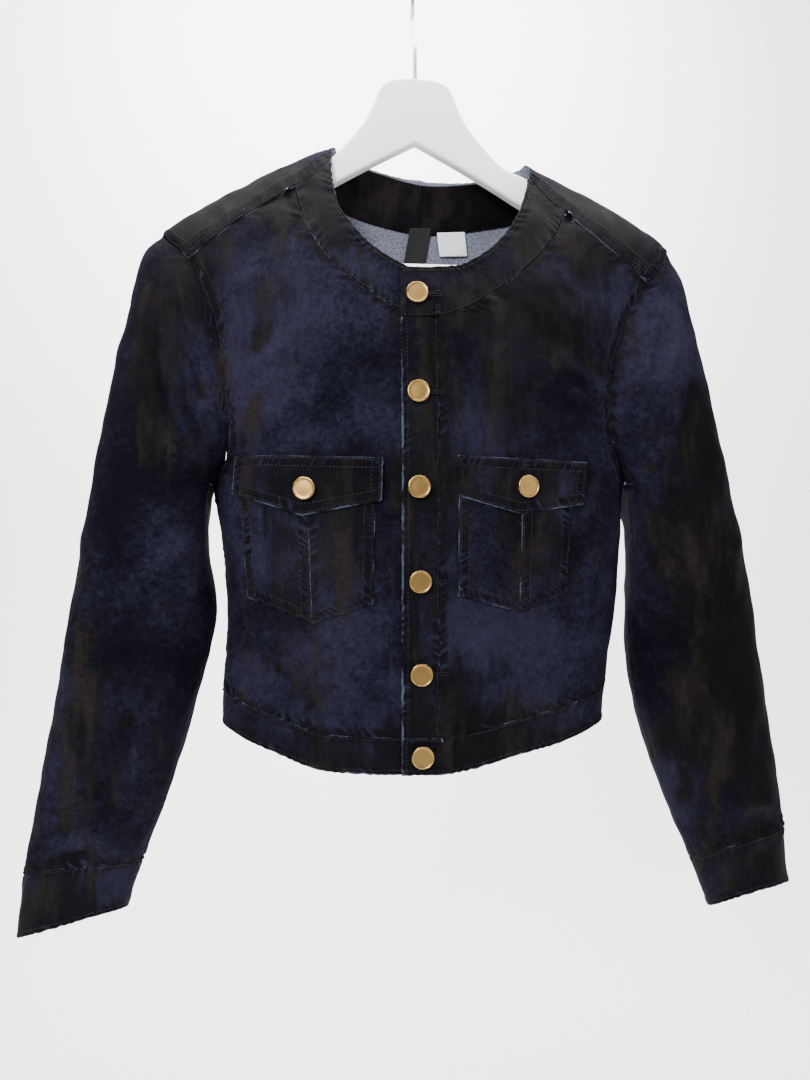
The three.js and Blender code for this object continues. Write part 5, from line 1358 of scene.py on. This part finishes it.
def buttonhole(name, side, x, z, lift, dx, dz, length):
    """A sewn buttonhole: two close rows of cross stitches and a bar at its far end."""
    t = np.arange(0, length, HOLE_STEP)[:, None]
    along = np.array([[dx, dz]])
    across = np.array([[-dz, dx]])
    starts, ends = [], []
    for row in (-1, 1):
        starts.append(along * t + across * row * HOLE_INNER)
        ends.append(along * t + across * row * HOLE_OUTER)
    far = np.linspace(-1.6, 1.6, 6)[:, None]
    starts.append(along * (length + 0.3) + across * far)
    ends.append(along * (length + 1.8) + across * far)
    place = lambda a: skin(side, x + a[:, 0], z + a[:, 1], np.full(len(a), lift + 0.15))
    p, n = place(np.concatenate(starts))
    q = place(np.concatenate(ends))[0]
    return thread_mesh(name, p, q, n, HOLE_THREAD_WIDE, HOLE_THREAD_HIGH, finish("thread"))


def hanger_outline():
    """Closed outline of the hanger from its top middle to the right, and the faces that fill
    it: each joins a place on the upper edge with one on the lower."""
    count = HANGER_STATIONS
    edges = []
    for part in (slice(0, HANGER_END + 1), slice(None, HANGER_END - 1, -1)):
        x, z = HANGER["x"][part], HANGER["z"][part]
        at = even_places(x, z, count, 0.0)
        k = np.arange(len(x))
        edges.append(np.stack([curve(k, x, at, True), curve(k, z, at, True)], -1))
    right = np.concatenate([edges[0], edges[1][-2::-1]])
    outline = np.concatenate([right, right[-2:0:-1] * (-1, 1)])
    k = np.arange(count - 1)
    low = 2 * count - 2 - k
    fill = np.stack([k, k + 1, low - 1, low], -1)
    mirrored = (len(outline) - fill[:, ::-1]) % len(outline)
    return outline, [list(dict.fromkeys(f)) for f in np.concatenate([fill, mirrored]).tolist()]


def tube(path, radius, around, taper):
    """Points and faces of a round bar along a path in the plane x = 0, closed at both ends."""
    along = np.gradient(path, axis=0)
    along /= np.linalg.norm(along, axis=1, keepdims=True)
    side = np.array([[1.0, 0.0, 0.0]])
    up = np.cross(along, side)
    turn = np.linspace(0, 2 * np.pi, around, endpoint=False)[None, :, None]
    radii = (radius * taper)[:, None, None]
    points = path[:, None] + (np.cos(turn) * side[:, None] + np.sin(turn) * up[:, None]) * radii
    ids = np.arange(len(path) * around).reshape(len(path), around)
    after = np.roll(ids, -1, 1)
    faces = np.stack([ids[:-1], after[:-1], after[1:], ids[1:]], -1).reshape(-1, 4)
    return points.reshape(-1, 3), [*faces, ids[0][::-1], ids[-1]]


# Operators: one for each piece or group of like pieces

# Rows of stitches from an edge: flat-felled seams, pockets, single rows and open edges.
FELLED, POCKET_ROWS, ONE_ROW, OPEN_ROW = (2, 8.5), (2, 8), (2,), (3,)
SHOULDER_ROWS, NECK_ROW, LAP_ROW = (1.6, 5.0, 8.5, 12.0), (2.2,), (4,)
# Rows of a front where its armhole and its side seam start.
HOLE_ROW, SIDE_ROW = 9.3, 20.5
# Share of the back's height at which its side seams start.
BACK_HOLE = 0.32
# How far the middle of a pocket stands out.
POCKET_SWELL = 0.8


def share_at(place, last, count, dense):
    """Share of a row's columns at which a place from 0 to last lies."""
    return float(np.interp(place / last, steps(count, dense), np.linspace(0, 1, count)))


def share_of_row(at, place):
    return float(np.interp(place, at, np.linspace(0, 1, len(at))))


class JacketPiece:
    """What the operators share: the size settings and how an operator reports."""

    bl_options = {"REGISTER", "UNDO"}

    def execute(self, context):
        self.build(context.scene.jacket_sizes)
        return {"FINISHED"}


class JACKET_OT_fronts(JacketPiece, bpy.types.Operator):
    """Both fronts: body surface between table rows, with armhole and side seams and bust darts"""

    bl_idname = "jacket.fronts"
    bl_label = "Fronts"

    def build(self, sizes):
        for side, seed in (("left", 1.7), ("right", 4.1)):
            grid, at = front_grid(side)
            cloth = Cloth("front_" + side, grid, CLOTH)
            outer, inner = ("first", "last") if side == "left" else ("last", "first")
            hole, low = share_of_row(at, HOLE_ROW), share_of_row(at, SIDE_ROW)
            cloth.seam(outer, (0, hole), pucker=0.25, edge="under", seed=seed)
            cloth.seam(outer, (hole, low), stitches=FELLED, pucker=0.5, seed=seed + 1, worn=0.75,
                       slant=0.8, reach=8)
            cloth.seam(outer, (low, 1), pucker=0.3, seed=seed + 2, worn=0.35)
            cloth.seam(inner, pucker=0.45, edge="under", seed=seed + 3, slant=0.7, reach=7)
            cloth.seam("bottom", pucker=0.6, edge="under", seed=seed + 4, slant=0.9, reach=9)
            dart(cloth, *DARTS[side])
            cloth.high -= 2.4 * (1 - smooth(at / 2.6))[:, None]
            start = smooth((at - 0.4) / 0.8)
            under = start * smooth((9.6 - at) / 0.6) + smooth((at - 16) / 1.5) * smooth((21.4 - at) / 0.7)
            whole = start * smooth((at[-1] - 0.2 - at) / 0.8 if side == "right" else (11.5 - at) / 0.8)
            finish_cloth(cloth, sizes, rests_on=["yoke"],
                         tucks=((outer, under), (inner, whole), ("bottom", None)))


class JACKET_OT_back(JacketPiece, bpy.types.Operator):
    """The back: body surface from the yoke seam to the waist seam"""

    bl_idname = "jacket.back"
    bl_label = "Back"

    def build(self, sizes):
        cloth = Cloth("back", back_grid(), CLOTH)
        cloth.seam("top", pucker=0.45, edge="under", seed=2.3, reach=8)
        cloth.seam("bottom", pucker=0.6, edge="under", seed=5.2, slant=0.9, reach=9)
        for where, seed in (("first", 0.7), ("last", 3.9)):
            cloth.seam(where, (0, BACK_HOLE), stitches=FELLED, pucker=0.4, seed=seed, slant=0.7, reach=8)
            cloth.seam(where, (BACK_HOLE, 1), pucker=0.35, edge="under", seed=seed + 1)
        low = np.linspace(0, 1, len(cloth.flat))
        hole = smooth((low - 0.18) / 0.05) * smooth((0.35 - low) / 0.02)
        finish_cloth(cloth, sizes, rests_on=["yoke"],
                     tucks=(("first", hole), ("last", hole), ("top", None), ("bottom", None)))


class JACKET_OT_yoke(JacketPiece, bpy.types.Operator):
    """The yoke over both shoulders: rows from the neck edge to the yoke seams and armholes"""

    bl_idname = "jacket.yoke"
    bl_label = "Yoke"

    def build(self, sizes):
        cloth = Cloth("yoke", yoke_grid(), CLOTH)
        low, high = (share_at(k, 26, 230, 0.2) for k in (8, 18))
        for where, seed in (("first", 1.1), ("last", 2.9)):
            cloth.seam(where, stitches=SHOULDER_ROWS, pucker=0.4, seed=seed, worn=0.95, reach=8, thick=0.6)
        cloth.seam("bottom", (0, low), stitches=FELLED, pucker=0.4, seed=3.3, worn=0.8, slant=0.8, reach=8)
        cloth.seam("bottom", (low, high), stitches=FELLED, pucker=0.4, seed=4.7, reach=8)
        cloth.seam("bottom", (high, 1), stitches=FELLED, pucker=0.4, seed=0.4, worn=0.8, slant=0.8, reach=8)
        cloth.seam("top", stitches=NECK_ROW, pucker=0.3, edge="open", seed=5.8, worn=0.8)
        finish_cloth(cloth, sizes, rests_on=["hanger_wood"])


class JACKET_OT_neckbands(JacketPiece, bpy.types.Operator):
    """Bias strips round the front of the neck"""

    bl_idname = "jacket.neckbands"
    bl_label = "Neckbands"

    def build(self, sizes):
        for side, seed in (("left", 0.9), ("right", 2.2)):
            cloth = Cloth("neckband_" + side, neckband_grid(side), BAND)
            seam, neck = ("first", "last") if side == "left" else ("last", "first")
            cloth.seam(seam, stitches=ONE_ROW, pucker=0.4, seed=seed, worn=0.8, reach=7, thick=0.25)
            cloth.seam(neck, stitches=OPEN_ROW, pucker=0.35, edge="open", seed=seed + 2, worn=0.45)
            cloth.seam("top", pucker=0.2, edge="under", seed=seed)
            finish_cloth(cloth, sizes, rests_on=["front_" + side], tucks=(("top", None),))


class JACKET_OT_placket(JacketPiece, bpy.types.Operator):
    """Strip of the lapping front that carries the buttons"""

    bl_idname = "jacket.placket"
    bl_label = "Button placket"

    def build(self, sizes):
        cloth = Cloth("placket", placket_grid(), BAND)
        cloth.seam("first", stitches=LAP_ROW, pucker=0.35, edge="open", seed=1.5, worn=1.0,
                   reach=8, thick=0.2)
        cloth.seam("last", stitches=ONE_ROW, pucker=0.35, seed=3.5, worn=0.8, reach=7, thick=0.25)
        finish_cloth(cloth, sizes, rests_on=["front_right"], tucks=(("top", None), ("bottom", None)))
        for i in range(len(FRONT_BUTTONS["x"])):
            x, z = FRONT_BUTTONS["x"][i], FRONT_BUTTONS["z"][i]
            lift = BAND - CLOTH if i == 5 else 0.25
            buttonhole(f"buttonhole_front_{i + 1}", "right", x + 5, z, lift, 1, 0, 13)
        for k, (z, length) in enumerate(((-275, 5), (-292, 5))):
            buttonhole(f"tack_front_{k + 1}", "right", 12, z, 0.25, 0, -1, length)


class JACKET_OT_waistbands(JacketPiece, bpy.types.Operator):
    """Three waistband pieces that follow the hem's rise"""

    bl_idname = "jacket.waistbands"
    bl_label = "Waistbands"

    def build(self, sizes):
        parts = (("left", UNDERLAP, -BAND_REACH, -1, False, True),
                 ("right", LAP_EDGE, BAND_REACH, -1, True, False),
                 ("back", -BAND_REACH, BAND_REACH, 1, False, True))
        for i, (name, start, end, face, lifted, turned_over) in enumerate(parts):
            grid = waistband_grid(start, end, face, lifted, across=150 if face < 0 else 240)
            cloth = Cloth("waistband_" + name, grid[:, ::-1] if turned_over else grid, BAND)
            cloth.seam("top", stitches=ONE_ROW, pucker=0.5, seed=1.3 + i, worn=0.85, slant=0.9,
                       reach=7, thick=0.25)
            cloth.seam("bottom", stitches=OPEN_ROW, pucker=0.3, edge="open", seed=3.1 + i, worn=0.9,
                       slant=0.9, reach=7)
            if name == "right":
                cloth.seam("first", stitches=OPEN_ROW, pucker=0.2, edge="open", seed=2.0, worn=0.9)
            finish_cloth(cloth, sizes, rests_on=["back" if face > 0 else "front_" + name])


class JACKET_OT_sleeves(JacketPiece, bpy.types.Operator):
    """Sleeve tubes from the armhole's own loop to the cuff seam"""

    bl_idname = "jacket.sleeves"
    bl_label = "Sleeves"

    def build(self, sizes):
        for side, seed in (("left", 1.9), ("right", 3.7)):
            grid = sleeve_grid(side, 0, CUFF_SECTION)
            cloth = Cloth("sleeve_" + side, grid, CLOTH, side, True)
            cloth.seam("top", pucker=0.6, edge="under", seed=seed, slant=0.9, reach=10)
            cloth.seam("bottom", pucker=0.7, edge="under", seed=seed + 2, slant=0.8, reach=9)
            sleeve_seam(cloth, seed)
            ring = cloth.flat[0][:, 2]
            finish_cloth(cloth, sizes, rests_on=["yoke"],
                         tucks=(("top", smooth((ring - ring.min() - 48) / 24)), ("bottom", None)))


class JACKET_OT_cuffs(JacketPiece, bpy.types.Operator):
    """Double cuff strips at the ends of the sleeves"""

    bl_idname = "jacket.cuffs"
    bl_label = "Cuffs"

    def build(self, sizes):
        for side, seed in (("left", 0.5), ("right", 2.6)):
            grid = sleeve_grid(side, CUFF_SECTION, CUFF_SECTION + 1, 40)
            cloth = Cloth("cuff_" + side, grid, CUFF, side, True)
            cloth.seam("top", stitches=ONE_ROW, pucker=0.4, seed=seed, worn=0.8, slant=0.7,
                       reach=7, thick=0.25)
            cloth.seam("bottom", stitches=OPEN_ROW, pucker=0.26, edge="open", seed=seed + 1,
                       worn=0.9, slant=0.8, reach=7)
            finish_cloth(cloth, sizes, rests_on=["sleeve_" + side])


class JACKET_OT_pockets(JacketPiece, bpy.types.Operator):
    """Chest pockets of two halves with a lapped centre seam, each lying on its front"""

    bl_idname = "jacket.pockets"
    bl_label = "Chest pockets"

    def build(self, sizes):
        for side, seed in (("left", 1.2), ("right", 2.7)):
            rows = POCKET[side]
            outer, middle, inner = (edge_row(rows, i) for i in range(3))
            for name, start, end in (("outer", middle, outer), ("inner", inner, middle)):
                on_top = name == "outer"
                lift = POCKET_LIFT + POCKET_WALL + (0.5 if on_top else 0.0)
                half = (0.5, 1) if on_top else (0, 0.5)
                shape = lambda u, v, h=half: POCKET_SWELL * np.sin(np.pi * np.clip(v, 0, 1)) ** 0.7 * (
                    np.sin(np.pi * mix(*h, u)) ** 0.7)
                grid = patch(side, start, end, lift, 90, 56, shape)
                cloth = PatchCloth(f"pocket_{side}_{name}_half", grid, POCKET_WALL)
                centre, edge = ("last", "first") if on_top == (side == "left") else ("first", "last")
                cloth.seam("bottom", stitches=POCKET_ROWS, pucker=0.35, seed=seed + 1, worn=0.8,
                           slant=0.7, thick=0.3)
                cloth.seam("top", pucker=0.2, edge="open", seed=seed + 2, worn=0.2)
                cloth.seam(edge, stitches=POCKET_ROWS, pucker=0.4, seed=seed + 3, worn=0.9, thick=0.3)
                if on_top:
                    cloth.seam(centre, stitches=POCKET_ROWS, pucker=0.4, seed=seed, worn=0.95,
                               slant=0.7, thick=0.3)
                else:
                    cloth.seam(centre, pucker=0.2, edge="under", seed=seed + 3)
                finish_cloth(cloth, sizes, rests_on=["front_" + side])


class JACKET_OT_flaps(JacketPiece, bpy.types.Operator):
    """Pointed pocket flaps, each in one piece"""

    bl_idname = "jacket.flaps"
    bl_label = "Pocket flaps"

    def build(self, sizes):
        for side, seed in (("left", 3.0), ("right", 1.4)):
            rows = FLAP[side]
            outer, middle, inner = (edge_row(rows, i) for i in range(3))
            low = lambda u, v: 0.5 * np.sin(np.pi * v) ** 0.6 + 0.5 * smooth((v - 0.55) / 0.45)
            lift = FLAP_LIFT + FLAP_WALL
            halves = [patch(side, *edges, lift, 40, 60, low) for edges in ((inner, middle), (middle, outer))]
            if side == "left":
                halves = halves[::-1]
            grid = np.concatenate([halves[0], halves[1][:, 1:]], 1)
            cloth = PatchCloth("flap_" + side, grid, FLAP_WALL)
            for where in ("first", "last"):
                cloth.seam(where, stitches=POCKET_ROWS, pucker=0.2, edge="open", seed=seed,
                           worn=0.8, thick=0.2)
            cloth.seam("bottom", stitches=POCKET_ROWS, pucker=0.35, edge="open", seed=seed + 1,
                       worn=1.0, thick=0.2)
            cloth.seam("top", stitches=POCKET_ROWS, pucker=0.3, seed=seed + 2, worn=0.8, thick=0.2)
            finish_cloth(cloth, sizes, rests_on=["front_" + side])
            x, z = POCKET_BUTTONS[side]
            buttonhole("buttonhole_pocket_" + side, side, x, z + 6, lift + 0.8, 0, 1, 9)


class JACKET_OT_buttons(JacketPiece, bpy.types.Operator):
    """Metal shank buttons turned from one profile"""

    bl_idname = "jacket.buttons"
    bl_label = "Buttons"

    def build(self, sizes):
        for i in range(len(FRONT_BUTTONS["x"])):
            button(f"button_front_{i + 1}", "right", FRONT_BUTTONS["x"][i], FRONT_BUTTONS["z"][i], 0)
        for side, (x, z) in POCKET_BUTTONS.items():
            button("button_pocket_" + side, side, x, z, FLAP_LIFT + FLAP_WALL)


class JACKET_OT_neck_inside(JacketPiece, bpy.types.Operator):
    """Facing and two blank labels inside the back neck"""

    bl_idname = "jacket.neck_inside"
    bl_label = "Facing and labels"

    def build(self, sizes):
        place = steps(110, 0.2)
        row = lambda rows, name: curve(np.linspace(0, 1, len(rows["x"])), rows[name], place)[None, :]
        v = steps(30, 0.4)[:, None]
        x = mix(row(FACING_TOP, "x"), row(FACING_LOW, "x"), v)
        z = mix(row(FACING_TOP, "z"), row(FACING_LOW, "z"), v)
        grid = moved_in(body_point(x, z, 1)[:, ::-1], CLOTH + GAP)
        cloth = Cloth("back_neck_facing", grid, FACING_WALL)
        cloth.seam("bottom", stitches=ONE_ROW, pucker=0.2, seed=1.0, edge="open", worn=0.5)
        cloth.coat = np.ones_like(cloth.coat)
        finish_cloth(cloth, sizes, rests_on=["yoke"], inside="coated_denim", face="coated_denim")
        for name, (x0, x1, z0, z1, shift, tall) in LABELS.items():
            u, v = np.linspace(0, 1, 22)[None, :], np.linspace(0, 1, 26)[:, None]
            place = body_point(mix(x0, x1, u) + shift * v, mix(z0, z1, u) - tall * v, 1)
            grid = moved_in(place[:, ::-1], CLOTH + GAP + FACING_WALL + GAP)
            cloth = Cloth("label_" + name, grid, LABEL_WALL)
            cloth.high = cloth.high - 0.6 * np.sin(np.pi * v) * np.sin(2.3 * np.pi * u + 0.6) * v
            tape = "black_tape" if name == "black" else "satin_tape"
            finish_cloth(cloth, sizes, rests_on=["back_neck_facing"], inside=tape, face=tape)


class JACKET_OT_hanger(JacketPiece, bpy.types.Operator):
    """Flat wooden hanger with a round bar and a wire hook"""

    bl_idname = "jacket.hanger"
    bl_label = "Hanger"

    def build(self, sizes):
        outline, fill = hanger_outline()
        along = np.roll(outline, -1, 0) - np.roll(outline, 1, 0)
        inwards = np.stack([along[:, 1], -along[:, 0]], -1)
        inwards /= np.linalg.norm(inwards, axis=1, keepdims=True)
        turn = np.linspace(0, np.pi / 2, 7)
        inset = WOOD_EDGE * (1 - np.sin(turn))
        level = WOOD_THICK / 2 - WOOD_EDGE * (1 - np.cos(turn))
        inset, level = np.concatenate([inset, inset[::-1]]), np.concatenate([-level, level[::-1]])
        place = outline[None] + inwards[None] * inset[:, None, None]
        y = np.broadcast_to(level[:, None], place.shape[:2])
        points = np.stack([place[..., 0], y, place[..., 1]], -1)
        count = len(outline)
        ids = np.arange(len(level) * count).reshape(-1, count)
        after = np.roll(ids, -1, 1)
        sides = np.stack([ids[:-1], after[:-1], after[1:], ids[1:]], -1).reshape(-1, 4)
        last = len(level) * count - count
        caps = [face[::-1] for face in fill] + [[last + k for k in face] for face in fill]
        wood = build_mesh("hanger_wood_painted", points.reshape(-1, 3), [*sides.tolist(), *caps],
                          [finish("painted_wood")])
        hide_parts("hanger_wood")

        near = np.array(BAR_PLACES)
        profile = np.stack([BAR_RADII, np.concatenate([near, 2 * BAR_HALF - near[::-1]])], -1)
        foot = np.array([-BAR_HALF, 0.0, BAR_Z])
        points, faces = turned(foot, np.array([1.0, 0, 0]), profile, BAR_AROUND)
        bar = build_mesh("hanger_bar_painted", points, faces, [finish("painted_wood")])
        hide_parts("hanger_bar")

        points, faces = tube(*hook_path())
        hook = build_mesh("hanger_hook_wire", points, faces, [finish("steel_wire")])
        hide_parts("hanger_hook")


class JACKET_OT_stage(JacketPiece, bpy.types.Operator):
    """Pale floor that curves up behind, soft lights and the camera"""

    bl_idname = "jacket.stage"
    bl_label = "Stage"

    def build(self, sizes):
        x = np.linspace(-4, 4, 9)
        bend = np.linspace(0, np.pi / 2, 24)
        y = np.concatenate([[-4, -2, 0], FLOOR_BACK + FLOOR_CURVE * np.sin(bend), [FLOOR_BACK + FLOOR_CURVE]])
        z = np.concatenate([[0, 0, 0], FLOOR_CURVE - FLOOR_CURVE * np.cos(bend), [3.4]]) + FLOOR_Z
        points = np.stack(np.broadcast_arrays(x[None, :], y[:, None], z[:, None]), -1).reshape(-1, 3) / MM
        ids = np.arange(len(y) * len(x)).reshape(len(y), len(x))
        faces = np.stack([ids[:-1, :-1], ids[:-1, 1:], ids[1:, 1:], ids[1:, :-1]], -1).reshape(-1, 4)
        mesh = bpy.data.meshes.new("floor")
        mesh.from_pydata((points * MM).tolist(), [], faces.tolist())
        mesh.polygons.foreach_set("use_smooth", np.ones(len(mesh.polygons), bool))
        mesh.materials.append(finish("pale_floor"))
        floor = bpy.data.objects.new("floor", mesh)
        lights = [soft_light(*row) for row in LIGHTS]
        for thing in (floor, *lights):
            bpy.context.scene.collection.objects.link(thing)
        world = bpy.data.worlds.new("pale_room")
        world.use_nodes = True
        background = world.node_tree.nodes["Background"]
        background.inputs["Color"].default_value = (*ROOM_COLOUR, 1)
        background.inputs["Strength"].default_value = ROOM_LIGHT
        bpy.context.scene.world = world
        lens = bpy.data.cameras.new("photo_view")
        lens.sensor_width, lens.lens = SENSOR, LENS
        lens.clip_start, lens.clip_end = 0.02, 20
        lens.dof.use_dof = False
        camera = bpy.data.objects.new("photo_view", lens)
        camera.location = CAMERA_PLACE
        camera.rotation_euler = (math.radians(90), 0, math.radians(CAMERA_TURN))
        bpy.context.scene.collection.objects.link(camera)
        bpy.context.scene.camera = camera


# Settings, panel and run


def colour(name, about, value):
    return FloatVectorProperty(name=name, description=about, default=value, size=3, min=0, max=1,
                               subtype="COLOR")


class JacketSizes(bpy.types.PropertyGroup):
    """Sizes that a user may change."""

    crease_scale: FloatProperty(name="Creases", description="Height of the soft creases, as a share",
                                default=1.0, min=0, max=1.6, subtype="FACTOR")
    pucker_scale: FloatProperty(name="Puckers", default=1.0, min=0, max=1.5, subtype="FACTOR",
                                description="Depth of the seams' puckers and grooves, as a share")
    stitch_pitch: FloatProperty(name="Stitch length", description="From one stitch to the next",
                                default=0.0030, min=0.0015, max=0.006, subtype="DISTANCE", unit="LENGTH")
    stitch_wide: FloatProperty(name="Thread width", description="Width of the sewing thread",
                               default=0.0010, min=0.0003, max=0.002, subtype="DISTANCE", unit="LENGTH")
    stitch_high: FloatProperty(name="Thread height", description="How far a stitch stands out",
                               default=0.0005, min=0.0001, max=0.001, subtype="DISTANCE", unit="LENGTH")


class JacketColours(bpy.types.PropertyGroup):
    """Colours that a user may change."""

    indigo_dark: colour("Dark indigo", "Denim in the shade of its cloudy dye", (0.0018, 0.0017, 0.0045))
    indigo_light: colour("Light indigo", "Denim where its dye is lighter", (0.0102, 0.0095, 0.0203))
    coat_black: colour("Black coating", "Coating where it is whole", (0.0015, 0.0014, 0.0018))
    coat_brown: colour("Brown coating", "Coating where it has rusted", (0.0095, 0.0073, 0.0063))
    worn_blue: colour("Worn edges", "Denim rubbed pale along edges", (0.046, 0.056, 0.086))
    inside_pale: colour("Inside, pale", "Weft of the wrong side", (0.19, 0.20, 0.24))
    inside_blue: colour("Inside, blue", "Warp flecks of the wrong side", (0.07, 0.08, 0.115))
    thread_dark: colour("Thread, dark", "Sewing thread", (0.0035, 0.0033, 0.0050))
    thread_light: colour("Thread, light", "Sewing thread where it is rubbed", (0.0120, 0.0110, 0.0140))
    brass: colour("Buttons", "Metal of the buttons", (0.30, 0.185, 0.062))
    paint: colour("Hanger", "Paint of the hanger", (0.90, 0.87, 0.83))
    steel: colour("Hook", "Wire of the hook", (0.60, 0.61, 0.62))
    floor: colour("Floor", "Floor and backdrop", (0.96, 0.96, 0.96))


PIECES = (JACKET_OT_fronts, JACKET_OT_back, JACKET_OT_yoke, JACKET_OT_neckbands, JACKET_OT_placket,
          JACKET_OT_waistbands, JACKET_OT_sleeves, JACKET_OT_cuffs, JACKET_OT_pockets, JACKET_OT_flaps,
          JACKET_OT_buttons, JACKET_OT_neck_inside, JACKET_OT_hanger, JACKET_OT_stage)


class JACKET_PT_panel(bpy.types.Panel):
    """Lists the settings and the pieces"""

    bl_idname = "JACKET_PT_panel"
    bl_label = "Denim jacket"
    bl_space_type = "VIEW_3D"
    bl_region_type = "UI"
    bl_category = "Jacket"

    def draw(self, context):
        for group in (context.scene.jacket_sizes, context.scene.jacket_colours):
            for name in group.__annotations__:
                self.layout.prop(group, name)
        for piece in PIECES:
            self.layout.operator(piece.bl_idname)


CLASSES = (JacketSizes, JacketColours, *PIECES, JACKET_PT_panel)


def register():
    for each in CLASSES:
        bpy.utils.register_class(each)
    bpy.types.Scene.jacket_sizes = PointerProperty(type=JacketSizes)
    bpy.types.Scene.jacket_colours = PointerProperty(type=JacketColours)


def unregister():
    del bpy.types.Scene.jacket_sizes, bpy.types.Scene.jacket_colours
    for each in reversed(CLASSES):
        bpy.utils.unregister_class(each)


def main():
    register()
    for piece in PIECES:
        group, name = piece.bl_idname.split(".")
        getattr(getattr(bpy.ops, group), name)()


if __name__ == "__main__":
    main()
